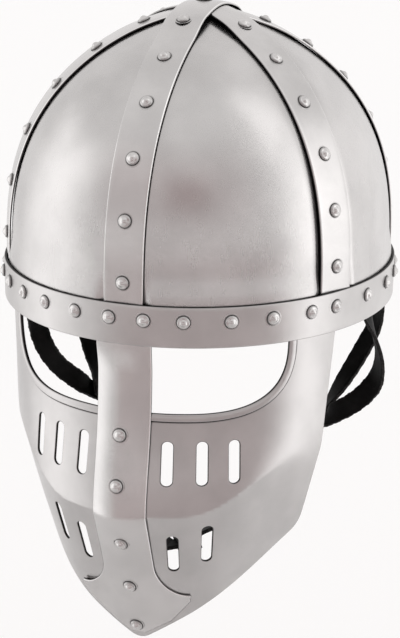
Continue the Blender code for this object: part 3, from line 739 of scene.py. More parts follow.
@dataclass
class CrownStrips:
    """The three strips over the seams, flat across their width on the sides and seated at the crossing."""

    form: CrownForm
    finish: SatinSteel
    rivet_finish: SatinSteel
    width: float = 0.022
    thickness: float = 0.0012
    foot: float = 0.006
    crossing: float = 0.026
    ramp: float = 0.022
    conform: float = 0.25
    # Shares of painted highlight on each strip's two outer corners.
    painted_highlight: Pair = (0.85, 0.3)
    rounding: float = 0.0008
    rounding_steps: int = 6
    rear_painted_shade_fade: float = 0.8
    rear_painted_shade_reach: float = 0.03
    slope_reach: float = 0.002
    wall_from: float = 0.0002
    apex_reach: float = 0.001
    outward_bias: float = 1e-9
    front_painted_wall_shade: float = 0.12
    slants: Pair = (60.0, -60.0)
    steps: int = 300
    middle_pitch: float = 0.0320
    middle_each_side: int = 6
    front_start: float = 0.0135
    front_pitch: float = 0.0298
    rear_start: float = 0.0210
    rear_pitch: float = 0.0280
    diagonal_count: int = 6

    def lift(self, distance: Numbers, layer: int) -> Array:
        """How far a strip stands off the plates: it steps up over those beneath it near the apex."""
        near = 1.0 - smoothstep((distance - self.crossing) / self.ramp)
        return SEAT_GAP + layer * (self.thickness + SEAT_GAP) * near

    def middle_line(self, azimuth: float) -> tuple[Array, Array]:
        """A strip's run from one foot over the apex to the other.

        Args:
            azimuth: Azimuth of its front end, in degrees.

        Returns:
            Its points, and the distance of each from the apex along the run.
        """
        front, back = self.form.meridian(azimuth), self.form.meridian(azimuth + 180.0)
        drop = np.array([0.0, 0.0, self.foot - self.form.wall])
        line = np.concatenate([front[:1] + drop, front, back[-2::-1], back[:1] + drop])
        total, half = length_of(line), length_of(line[: len(front) + 1])
        places = np.linspace(0.0, total, self.steps + 1)
        return along(line, places), np.abs(places - half)

    def strip(self, run: StripRun) -> Shell:
        """A strip's bar section carried along its run.

        Args:
            run: Which strip.

        Returns:
            The shell.
        """
        middle, distance = self.middle_line(run.azimuth)
        angle = math.radians(run.azimuth)
        sideways = np.array([math.cos(angle), math.sin(angle), 0.0])
        outward = unit(np.cross(unit(np.gradient(middle, axis=0)), sideways))
        from_middle = middle - [0.0, 0.0, self.form.wall]
        outward *= np.sign((outward * from_middle).sum(axis=1, keepdims=True) + self.outward_bias)
        steps = self.rounding_steps
        bar = RoundedBar(self.width, self.thickness, self.rounding, self.painted_highlight, corner_steps=steps)
        corners, marks = bar.corners()
        # Painted shade on the strip's walls stands in for the shadow in the gap under its edges, less on the
        # front-to-back strip and fading towards the back.
        rear = smoothstep(middle[:, 1] / self.rear_painted_shade_reach)
        painted_edge_shade = run.painted_wall_shade * (1.0 - self.rear_painted_shade_fade * rear)
        marks = np.where((corners[:, 1] > self.wall_from) & (marks > 0.0), marks * painted_edge_shade[:, None], marks)
        spread = middle[:, None, :] + corners[None, :, :1] * sideways
        normals = np.broadcast_to(outward[:, None, :], spread.shape)
        lift = self.lift(distance, run.layer)[:, None]
        seated = self.form.seat(spread, normals, np.broadcast_to(lift, spread.shape[:2]))
        level = self.form.seat(middle, outward, lift[:, 0])[:, None, :] + corners[None, :, :1] * sideways
        hold = 1.0 - (1.0 - self.conform) * smoothstep((distance - self.crossing) / self.ramp)
        base = hold[:, None, None] * seated + (1.0 - hold[:, None, None]) * level
        return Shell.swept(base + corners[None, :, 1:] * normals, marks)

    def seats(self, run: StripRun) -> list[Seat]:
        """Where a strip's rivet heads sit, and which way each faces.

        Args:
            run: Which strip.

        Returns:
            A seat and an outward direction for each rivet.
        """
        found = []
        for azimuth, climb in run.rivets:
            line = self.form.meridian(azimuth)
            total, reach = length_of(line), self.slope_reach
            place, ahead, behind = along(line, np.clip([climb, climb + reach, climb - reach], 0.0, total))
            angle = math.radians(azimuth)
            outward = unit(np.cross(ahead - behind, [math.cos(angle), math.sin(angle), 0.0]))
            outward = outward * np.sign(outward @ (place - [0.0, 0.0, self.form.wall]))
            if total - climb < self.apex_reach:
                outward = np.array([0.0, 0.0, 1.0])
            lift = self.lift(np.array(total - climb), run.layer) + self.thickness
            found.append((self.form.seat(place[None], outward[None], np.array([lift]))[0], outward))
        return found

    def runs(self) -> list[StripRun]:
        """The three strips with their rivet places.

        Returns:
            One run per strip, from the outermost in.
        """
        middle = []
        for azimuth, first in ((0.0, 0), (180.0, 1)):
            total = length_of(self.form.meridian(azimuth))
            steps = range(first, self.middle_each_side + 1)
            middle += [(azimuth, total - step * self.middle_pitch) for step in steps]
        made = [StripRun("strip_front_to_back", 0.0, 2, tuple(middle), painted_wall_shade=self.front_painted_wall_shade)]
        names = ("strip_left_front_to_right_rear", "strip_right_front_to_left_rear")
        for node, azimuth, layer in zip(names, self.slants, (1, 0)):
            steps = range(self.diagonal_count)
            front = [(azimuth, self.front_start + step * self.front_pitch) for step in steps]
            rear = [(azimuth + 180.0, self.rear_start + step * self.rear_pitch) for step in steps]
            made.append(StripRun(node, azimuth, layer, tuple(front + rear)))
        return made

    def build(self) -> None:
        """Builds each strip in place of its CAD node, and its rivet heads."""
        for run in self.runs():
            add_piece(f"{run.node}_satin", self.strip(run), self.finish, (run.node,))
            heads = RivetHead().heads(self.seats(run))
            add_piece(f"{run.node}_rivets", heads, self.rivet_finish)


@dataclass(frozen=True)
class RivetHead:
    """A low button head: a rounded shoulder, a slightly domed face, and painted shade round its foot and on
    its shoulder.
    """

    radius: float = 0.0036
    height: float = 0.0028
    shoulder: float = 0.0014
    dome: float = 0.0012
    painted_shade_reach: float = 0.0011
    skirt_shares: tuple[float, ...] = (1.0, 0.45, 0.15, 0.0)
    skirt_heights: tuple[float, ...] = (-0.00005, 0.00003, 0.00006, 0.00012)
    skirt_marks: tuple[float, ...] = (0.0, 0.3, 0.9, 1.0)
    shade_turns: tuple[float, ...] = (0.0, 0.6, 1.3)
    shade_marks: tuple[float, ...] = (0.9, 0.35, 0.0)
    side_hint: tuple[float, float, float] = (0.31, 0.52, 0.79)
    sides: int = 28

    def profile(self) -> tuple[Array, Array]:
        """The head's outline from the painted shade round its foot to its middle, as (from the axis, out)
        rows.

        Returns:
            The outline, and the mark of each place: the painted shade on it.
        """
        turn = np.linspace(0.0, math.pi / 2, 7)
        edge = self.radius - self.shoulder
        reach, rise = self.painted_shade_reach, self.height - self.dome - self.shoulder
        skirt = self.radius + reach * np.array(self.skirt_shares)
        foot = np.stack([skirt, self.skirt_heights], axis=1)
        arc = np.stack([edge + self.shoulder * np.cos(turn), rise + self.shoulder * np.sin(turn)], axis=1)
        share = np.linspace(1.0, 0.0, 6)[1:]
        top = np.stack([edge * share, self.height - self.dome * share**2], axis=1)
        # Painted contact shade on the skirt round the foot, and painted shade on the shoulder that darkens
        # the head's sides.
        shade = np.interp(turn, self.shade_turns, self.shade_marks)
        marks = np.concatenate([self.skirt_marks, shade, np.zeros(len(top))])
        return np.concatenate([foot, arc, top]), marks

    def heads(self, seats: list[Seat]) -> Shell:
        """Heads turned about each seat's outward direction.

        Args:
            seats: A place and an outward direction for each head.

        Returns:
            All the heads as one shell.
        """
        place = np.array([seat for seat, _ in seats])
        outward = unit(np.array([direction for _, direction in seats]))
        side = unit(np.cross(outward, self.side_hint))
        other = np.cross(outward, side)
        turn = np.arange(self.sides) * 2 * math.pi / self.sides
        circle = np.cos(turn)[:, None] * side[:, None, :] + np.sin(turn)[:, None] * other[:, None, :]
        outline, marks = self.profile()
        reach = outline[None, :, 0, None, None] * circle[:, None, :, :]
        points = place[:, None, None, :] + reach + outline[None, :, 1, None, None] * outward[:, None, None, :]
        rings = len(outline)
        one = grid_quads(rings, self.sides, closed=True)
        starts = np.arange(len(seats)) * rings * self.sides
        quads = (one[None] + starts[:, None, None]).reshape(-1, 4)
        foot = (starts[:, None] + np.arange(self.sides)[None, ::-1]).tolist()
        cut = np.tile(np.repeat(marks, self.sides), len(seats))
        return Shell(points.reshape(-1, 3), quads.tolist() + foot, cut)


@dataclass
class BrowBand:
    """The riveted band round the brow, outermost, over the strips' feet."""

    form: CrownForm
    finish: SatinSteel
    rivet_finish: SatinSteel
    thickness: float = 0.0015
    strip_thickness: float = 0.0012
    rivet_height: float = 0.0142
    rivet_azimuths: tuple[float, ...] = (
        -3.3, 5.7, 15.6, 27.5, 38.6, 50.4, 59.2, 74.0, 88.6, 101.0, 113.0, 125.0, 137.0, 149.0, 161.0,
        173.0, 185.0, 197.0, 209.0, 221.0, 233.0, 245.0, 257.0, 269.0, 280.0, 291.0, 302.5, 314.0, 325.1,
        335.9, 346.8,
    )
    steps: int = 360

    def grow(self) -> float:
        """How far the band's inner face stands outside the plates."""
        return 2 * SEAT_GAP + self.strip_thickness

    def ring(self) -> Shell:
        """The band's bar section carried round the elliptical plan, clockwise from above.

        Returns:
            The shell.
        """
        azimuth = -np.arange(self.steps) * 2 * math.pi / self.steps
        # Its walls and inner face take painted shade, which draws a dark line along the band's top edge.
        corners, marks = RoundedBar(self.form.wall, self.thickness).corners()
        radius = self.form.radius(azimuth[:, None], self.grow() + corners[None, :, 1])
        height = np.broadcast_to(self.form.wall / 2 + corners[None, :, 0], radius.shape)
        turn = azimuth[:, None]
        sections = np.stack([radius * np.sin(turn), -radius * np.cos(turn), height], axis=-1)
        return Shell.swept(sections, marks, closed=True)

    def seats(self) -> list[Seat]:
        """Where the band's rivet heads sit, and which way each faces.

        Returns:
            A seat and an outward direction for each rivet.
        """
        grow = self.grow() + self.thickness
        angle = np.radians(self.rivet_azimuths)
        radius = self.form.radius(angle, grow)
        height = np.full(len(angle), self.rivet_height)
        place = np.stack([radius * np.sin(angle), -radius * np.cos(angle), height], axis=1)
        across, ahead = (self.form.half_width + grow) ** 2, (self.form.half_length + grow) ** 2
        outward = unit(place * [1 / across, 1 / ahead, 0.0])
        return list(zip(place, outward))

    def build(self) -> None:
        """Builds the band in place of its CAD node, and its rivet heads."""
        add_piece("brow_band_satin", self.ring(), self.finish, ("brow_band",))
        add_piece("brow_band_rivets", RivetHead().heads(self.seats()), self.rivet_finish)


@dataclass(frozen=True)
class GuardForm:
    """The face guard's outer face, which leaves the crown's plan and bulges down to a crease."""

    crown: CrownForm
    seat_gap: float = 0.0006
    crease_drop: float = 0.0950
    crease_side_rise: float = 0.0270
    crease_level_azimuth: float = 16.0
    crease_end_azimuth: float = 50.0
    crease_bulge: float = 0.0090
    side_draw_in: float = 0.0022
    chin_slope: float = 0.36
    chin_side_slope: float = 0.17
    chin_side_curve: float = 0.8
    bulge_ease: float = 1.7
    plan_power: float = 1.87
    blank_radius: float = 0.105
    turn_step: float = 0.5
    rise_step: float = 0.0007

    def crease(self, azimuth: Numbers) -> Array:
        """Drop of the crease: level in the middle and rising to the sides.

        Args:
            azimuth: Angle from the front, in degrees.

        Returns:
            The drop.
        """
        span = self.crease_end_azimuth - self.crease_level_azimuth
        rise = smoothstep((np.abs(azimuth) - self.crease_level_azimuth) / span)
        return self.crease_drop - self.crease_side_rise * rise

    def radius(self, azimuth: Numbers, height: Numbers) -> Array:
        """Distance from the axis: a superellipse whose half axes bulge to the crease and draw in below it.

        Args:
            azimuth: Angle from the front, in degrees.
            height: Height over the brow plane.

        Returns:
            The distance.
        """
        set_in = -self.crown.thickness - self.seat_gap
        crease = self.crease(azimuth)
        down = np.clip(-height / crease, 0.0, 1.0)
        below = np.maximum(-height - crease, 0.0)
        bulge = self.crease_bulge * smoothstep(down**self.bulge_ease)
        drawn = self.side_draw_in * down**2 + self.chin_side_slope * below + self.chin_side_curve * below**2
        across = self.crown.half_width + set_in - drawn
        forward = self.crown.half_length + set_in + bulge - self.chin_slope * below
        power = 2.0 + (self.plan_power - 2.0) * smoothstep(-height / self.crease_drop)
        angle = np.radians(azimuth)
        spread = (np.abs(np.sin(angle)) / across) ** power + (np.abs(np.cos(angle)) / forward) ** power
        return spread ** (-1.0 / power)

    def point(self, azimuth: Numbers, height: Numbers) -> Array:
        """A point on the outer face, from its distance, azimuth and height.

        Args:
            azimuth: Angle from the front, in degrees.
            height: Height over the brow plane.

        Returns:
            The point.
        """
        radius = self.radius(azimuth, height)
        angle = np.radians(azimuth)
        return np.stack([radius * np.sin(angle), -radius * np.cos(angle), height], axis=-1)

    def normal(self, azimuth: Numbers, height: Numbers) -> Array:
        """Outward direction of the face: the cross product of its slopes round and up.

        Args:
            azimuth: Angle from the front, in degrees.
            height: Height over the brow plane.

        Returns:
            The direction, of length one.
        """
        turn, rise = self.turn_step, self.rise_step
        round_it = self.point(azimuth + turn, height) - self.point(azimuth - turn, height)
        up_it = self.point(azimuth, height + rise) - self.point(azimuth, height - rise)
        return unit(np.cross(round_it, up_it))

    def bend(self, flat: Array, out: Numbers) -> Array:
        """Bends places of the flat blank onto the face.

        Args:
            flat: Places as (along the arc, height) rows.
            out: How far each stands out of the outer face.

        Returns:
            Points in space.
        """
        azimuth = np.degrees(flat[:, 0] / self.blank_radius)
        lifted = np.broadcast_to(out, len(flat))[:, None] * self.normal(azimuth, flat[:, 1])
        return self.point(azimuth, flat[:, 1]) + lifted

    def arc(self, degrees: float) -> float:
        """Length along the flat blank of an azimuth."""
        return math.radians(degrees) * self.blank_radius


def rounded(corners: list[tuple[float, float]], radii: list[float], steps: int = 12) -> Array:
    """A closed outline whose corners are turned into Bezier arcs.

    Args:
        corners: The outline's corners.
        radii: How far from each corner its arc starts and ends.
        steps: Points in an arc.

    Returns:
        The outline's points.
    """
    sharp = np.array(corners)
    outline = []
    for number, (corner, radius) in enumerate(zip(sharp, radii)):
        before, after = sharp[number - 1], sharp[(number + 1) % len(sharp)]
        start = corner + radius * unit(before - corner)
        end = corner + radius * unit(after - corner)
        share = np.linspace(0.0, 1.0, steps if radius else 1)[:, None]
        outline.append((1 - share) ** 2 * start + 2 * share * (1 - share) * corner + share**2 * end)
    return np.concatenate(outline)


def mirrored(outline: Array) -> Array:
    """An outline's copy on the wearer's right, running the same way round."""
    return outline[::-1] * [-1.0, 1.0]


def evenly(outline: Array, step: float) -> Array:
    """A closed outline's points at even steps along it.

    Args:
        outline: The outline's points.
        step: About how far apart they are.

    Returns:
        The points.
    """
    ring = np.concatenate([outline, outline[:1]])
    total = length_of(ring)
    count = max(8, round(total / step))
    return along(ring, np.arange(count) * total / count)


def left_of(outline: Array) -> Array:
    """Directions to the left of a closed outline's run, at its points."""
    run = unit(np.roll(outline, -1, axis=0) - np.roll(outline, 1, axis=0))
    return np.stack([-run[:, 1], run[:, 0]], axis=1)


def inside(points: Array, outline: Array) -> Array:
    """Whether each point lies inside a closed outline, by counting the edges that a level ray crosses.

    Args:
        points: Places in the plane.
        outline: The outline's points.

    Returns:
        True or false for each point.
    """
    after = np.roll(outline, -1, axis=0)
    x, y = points[:, :1], points[:, 1:]
    spans = (outline[None, :, 1] > y) != (after[None, :, 1] > y)
    rise = after[:, 1] - outline[:, 1]
    slope = (after[:, 0] - outline[:, 0]) / np.where(np.abs(rise) < TINY, TINY, rise)
    crossing = outline[None, :, 0] + (y - outline[None, :, 1]) * slope[None, :]
    return ((spans & (x < crossing)).sum(axis=1) % 2).astype(bool)


@dataclass
class CutPlate:
    """A plate cut out flat, with rounded rims round its outline and its holes, then bent to shape.

    Painted shade darkens its rims above a floor where they face outward by more than a share, and a painted
    highlight brightens their outer corner on the wearer's left. Its shading is worked out over wider steps
    where blur is set.
    """

    outline: Array
    holes: list[Array]
    thickness: float
    bend: Callable[[Array, Numbers], Array]
    rim: float = 0.0006
    spacing: float = 0.0017
    painted_shade_floor: float = -1.0
    painted_shade_from: float = 0.25
    painted_highlight: float = 0.0
    slope_step: float = 0.0006
    blur: float = 0.0
    blur_from: float = 0.0
    blur_reach: float = 1.0
    edge_step: float = 0.0008
    rim_steps: int = 5
    clear_cell: float = 0.6
    painted_shade_fade: float = 0.003
    painted_shade_reach: float = 0.35
    painted_highlight_below: float = 0.5
    away_step: float = 0.0005
    fill_reach: float = 1e-9
    row_stride: int = 100000

    def loops(self) -> list[Array]:
        """The outline run so that the plate is on its left, then the holes, at even steps.

        Returns:
            One closed outline each.
        """
        made = []
        for number, loop in enumerate([self.outline, *self.holes]):
            even = evenly(loop, self.edge_step)
            after = np.roll(even, -1, axis=0)
            area = (even[:, 0] * after[:, 1] - after[:, 0] * even[:, 1]).sum()
            made.append(even if (area > 0) == (number == 0) else even[::-1])
        return made

    def section(self) -> Array:
        """The rim's section as (in from the edge, out of the face, facing outward, facing up) rows.

        Returns:
            A quarter round over the outer edge, then one over the inner edge.
        """
        turn = np.linspace(0.0, math.pi / 2, self.rim_steps)
        aside, up = np.sin(turn), np.cos(turn)
        over = np.stack([self.rim * (1 - aside), -self.rim * (1 - up), aside, up], 1)
        under = over[::-1] * [1.0, -1.0, 1.0, -1.0] - [0.0, self.thickness, 0.0, 0.0]
        return np.concatenate([over, under])

    def interior(self, loops: list[Array]) -> Array:
        """Places of an even grid inside the plate that keep off its loops.

        Args:
            loops: The plate's loops, drawn in by the rim.

        Returns:
            The places.
        """
        low, high = loops[0].min(axis=0), loops[0].max(axis=0)
        across = np.arange(low[0] + self.spacing / 2, high[0], self.spacing)
        up = np.arange(low[1] + self.spacing / 2, high[1], self.spacing)
        places = np.stack(np.meshgrid(across, up), axis=-1).reshape(-1, 2)
        places = places[self.in_plate(places, loops)]
        ring = np.concatenate(loops)
        cell = self.clear_cell * self.spacing
        near = np.round(ring / cell).astype(int)
        around = np.array([(i, j) for i in (-1, 0, 1) for j in (-1, 0, 1)])
        stride = [1, self.row_stride]
        taken = np.unique((near[:, None, :] + around[None]).reshape(-1, 2) @ stride)
        return places[~np.isin(np.round(places / cell).astype(int) @ stride, taken)]

    @staticmethod
    def in_plate(places: Array, loops: list[Array]) -> Array:
        """Whether each place is inside the first loop and outside the others.

        Args:
            places: Places in the plane.
            loops: The outline, then the holes.

        Returns:
            True or false for each place.
        """
        held = inside(places, loops[0])
        for hole in loops[1:]:
            held &= ~inside(places, hole)
        return held

    def shell(self) -> Shell:
        """Fills the flat outline with triangles, bends both faces and walls the rims between them.

        Returns:
            The shell, with the bent face's own normals.
        """
        loops = self.loops()
        inward = [left_of(loop) for loop in loops]
        drawn = [loop + self.rim * aside for loop, aside in zip(loops, inward)]
        drawn = [loop.astype(np.float32).astype(float) for loop in drawn]
        places = np.concatenate([*drawn, self.interior(drawn)])
        starts = np.cumsum([0] + [len(loop) for loop in loops])
        edges = np.concatenate([
            np.stack([start + np.arange(len(loop)), start + np.roll(np.arange(len(loop)), -1)], 1)
            for start, loop in zip(starts, loops)
        ])
        corners = [Vector(place) for place in places]
        found = delaunay_2d_cdt(corners, edges.tolist(), [], 0, self.fill_reach, False)
        flat = np.array([tuple(place) for place in found[0]])
        triangles = np.array([list(face) for face in found[2]])
        middles = flat[triangles].mean(axis=1)
        triangles = triangles[self.in_plate(middles, drawn)]
        count = len(flat)
        outer, inner = self.bend(flat, 0.0), self.bend(flat, -self.thickness)
        blur = smoothstep((np.abs(flat[:, :1]) - self.blur_from) / self.blur_reach)
        step = self.slope_step + self.blur * blur
        across, high = step * [1.0, 0.0], step * [0.0, 1.0]
        round_it = self.bend(flat + across, 0.0) - self.bend(flat - across, 0.0)
        up = unit(np.cross(round_it, self.bend(flat + high, 0.0) - self.bend(flat - high, 0.0)))
        points, normals, cut = [outer, inner], [up, -up], [np.zeros(count), np.zeros(count)]
        faces = triangles.tolist() + (triangles[:, ::-1] + count).tolist()
        total = 2 * count
        section = self.section()
        for start, loop, aside in zip(starts, loops, inward):
            size = len(loop)
            away = unit(self.bend(loop - self.away_step * aside, 0.0) - self.bend(loop, 0.0))
            lift = unit(self.bend(loop, 0.0) - self.bend(loop, -self.thickness))
            numbers = [start + np.arange(size)]
            for row in section[1:-1]:
                points.append(self.bend(loop + row[0] * aside, row[1]))
                normals.append(unit(row[2] * away + row[3] * lift))
                # Painted shade on the rim where it faces outward, above the shade floor, and a painted
                # highlight on its outer corner on the wearer's left.
                painted_edge_shade = smoothstep((loop[:, 1] - self.painted_shade_floor) / self.painted_shade_fade)
                highlight_share = self.painted_highlight * (row[2] < self.painted_highlight_below) * (loop[:, 0] > 0.0)
                cut.append(painted_edge_shade * (smoothstep((row[2] - self.painted_shade_from) / self.painted_shade_reach) - highlight_share))
                numbers.append(total + np.arange(size))
                total += size
            numbers.append(count + start + np.arange(size))
            for upper, lower in zip(numbers[:-1], numbers[1:]):
                quads = np.stack([upper, lower, np.roll(lower, -1), np.roll(upper, -1)], axis=1)
                faces += quads.tolist()
        return Shell(np.concatenate(points), faces, np.concatenate(cut), np.concatenate(normals))


@dataclass
class FaceGuard:
    """The curved guard with its eye openings, raised hems, crease and breathing slots."""

    form: GuardForm
    finish: SatinSteel
    thickness: float = 0.0015
    head: float = 0.0190
    chin_drop: float = 0.1810
    top_azimuth: float = 63.6
    corner_azimuth: float = 56.2
    corner_drop: float = 0.1165
    chin_rounding: float = 0.008
    corner_rounding: float = 0.007
    eye_inner_azimuth: float = 6.6
    eye_outer_azimuth: float = 44.9
    eye_drop: float = 0.0380
    eye_head: float = 0.0030
    eye_power: float = 2.9
    eye_flat: float = 0.2
    hem_width: float = 0.0042
    hem_rise: float = 0.0010
    hem_bow: float = 0.0022
    # Width of the thin foot that carries the painted shade of the groove along the hem.
    hem_painted_shade: float = 0.0012
    hem_margin: float = 0.0004
    hem_corner: float = 0.0005
    hem_depth: float = 0.55
    hem_back: float = 1.6
    hem_sink: float = 0.0002
    hem_under: float = 0.0001
    hem_skirt: tuple[float, ...] = (0.0, 0.35, 1.0, 1.0)
    hem_skirt_heights: tuple[float, ...] = (0.00015, 0.00008, 0.00002)
    hem_lip: Pair = (0.7, 0.5)
    hem_line_turn: float = 1.2
    blur: float = 0.016
    blur_azimuth: float = 34.0
    blur_span: float = 28.0
    slot_length: float = 0.0240
    slot_width: float = 0.0054
    upper_slots: tuple[float, ...] = (11.7, 20.7, 29.3)
    upper_drop: float = 0.0653
    lower_slots: tuple[tuple[float, float], ...] = ((13.1, 0.1197), (22.4, 0.1140))

    def outline(self) -> Array:
        """Straight sides that lean in, round corners and a round-pointed chin.

        Returns:
            The outline.
        """
        top, corner = self.form.arc(self.top_azimuth), self.form.arc(self.corner_azimuth)
        foot = [(0.0, -self.chin_drop - self.chin_rounding / 2)]
        left = [(corner, -self.corner_drop), (top, self.head)]
        right = [(-top, self.head), (-corner, -self.corner_drop)]
        radii = [self.chin_rounding, self.corner_rounding, 0.0, 0.0, self.corner_rounding]
        return rounded(foot + left + right, radii)

    def eye_edge(self, margin: float) -> Array:
        """Lower and outer edge of the left eye opening, from the nose round to the top.

        Args:
            margin: How far outside the opening's own edge.

        Returns:
            The places: level, then a superellipse's quarter, then straight up.
        """
        inner = self.form.arc(self.eye_inner_azimuth)
        outer = self.form.arc(self.eye_outer_azimuth) + margin
        drop = self.eye_drop + margin
        middle = inner + (outer - inner) * self.eye_flat
        turn = np.linspace(0.0, math.pi / 2, 60)
        across = middle + (outer - middle) * np.sin(turn) ** (2.0 / self.eye_power)
        curve = np.stack([across, -drop * np.cos(turn) ** (2.0 / self.eye_power)], axis=1)
        return np.concatenate([[(inner, -drop)], curve, [(outer, self.eye_head)]])

    def eye_hole(self, margin: float) -> Array:
        """The left eye opening's whole outline."""
        start = (self.form.arc(self.eye_inner_azimuth), self.eye_head)
        return np.concatenate([[start], self.eye_edge(margin)])

    def slot(self, azimuth: float, drop: float) -> Array:
        """A round-ended upright slot: two half circles joined by straight sides.

        Args:
            azimuth: Azimuth of its middle, in degrees.
            drop: Drop of its middle.

        Returns:
            The outline.
        """
        middle, radius = self.form.arc(azimuth), self.slot_width / 2
        straight = self.slot_length / 2 - radius
        turn = np.linspace(0.0, math.pi, 16)
        arch = np.stack([radius * np.cos(turn), straight + radius * np.sin(turn)], axis=1)
        return np.concatenate([arch, -arch]) + [middle, -drop]

    def plate(self) -> Shell:
        """The pierced plate, its shading faded at the sides.

        Returns:
            The shell.
        """
        places = [(azimuth, self.upper_drop) for azimuth in self.upper_slots] + list(self.lower_slots)
        holes = [self.eye_hole(self.hem_margin)] + [self.slot(*place) for place in places]
        holes += [mirrored(hole) for hole in holes]
        start, reach = self.form.arc(self.blur_azimuth), self.form.arc(self.blur_span)
        faded = {"blur": self.blur, "blur_from": start, "blur_reach": reach}
        # Its rims round the outline, eye openings and slots take painted shade where they face outward, so
        # the slots show dark walls.
        return CutPlate(self.outline(), holes, self.thickness, self.form.bend, **faded).shell()

    def hem(self, side: Side) -> Shell:
        """The raised hem: a folded edge's section carried along the eye opening's edge, with painted shade
        under its lip, on its shoulder line and on a thin foot laid on the guard.

        Args:
            side: Which eye.

        Returns:
            The shell.
        """
        edge = self.eye_edge(0.0)
        path = along(edge, np.linspace(0.0, length_of(edge), 150))
        run = unit(np.gradient(path, axis=0))
        outward = np.stack([run[:, 1], -run[:, 0]], axis=1)
        turn = np.linspace(-math.pi / 2, math.pi / 2, 13)
        fold = (self.thickness + self.hem_rise) / 2
        depth = self.hem_depth * fold
        reach = np.where(turn > 0.0, self.hem_bow, depth)
        nose = np.stack([reach * (1 - np.cos(turn)), -self.thickness + fold + fold * np.sin(turn)], axis=1)
        corner = self.hem_corner
        bow = np.linspace(0.0, math.pi / 2, 5)
        wide, back = self.hem_width, self.hem_back * depth
        round_off = [wide - corner * (1 - np.sin(bow)), self.hem_rise - corner * (1 - np.cos(bow))]
        shoulder = np.stack(round_off, 1)
        skirt = wide + self.hem_painted_shade * np.array(self.hem_skirt)
        foot = np.stack([skirt, [*self.hem_skirt_heights, -self.hem_sink]], axis=1)
        under = np.array([[back, -self.hem_sink], [back, -self.thickness - self.hem_under]])
        section = np.concatenate([nose, shoulder, foot, under])
        # Painted shade under the lip, along the shoulder's outer line, and on the foot, which stands in for
        # the groove's shadow.
        lip = smoothstep((self.hem_lip[0] - turn) / self.hem_lip[1])
        line = np.where(bow > self.hem_line_turn, 1.0, 0.0)
        marks = np.concatenate([lip, line, [1.0, 1.0, 0.0, 0.0, 1.0, 1.0]])
        flat = path[:, None, :] + section[None, :, :1] * outward[:, None, :]
        out = np.tile(section[:, 1], len(path))
        flat = flat.reshape(-1, 2)
        points = self.form.bend(flat * [side.value, 1.0], out).reshape(len(path), len(section), 3)
        made = Shell.swept(points, marks)
        if side is Side.LEFT:
            made.faces = [face[::-1] for face in made.faces]
        return made

    def build(self) -> None:
        """Builds the plate in place of its CAD node, and the two hems."""
        add_piece("face_guard_satin", self.plate(), self.finish, ("face_guard",))
        for side in Side:
            add_piece(f"eye_hem_{side.name.lower()}", self.hem(side), self.finish)


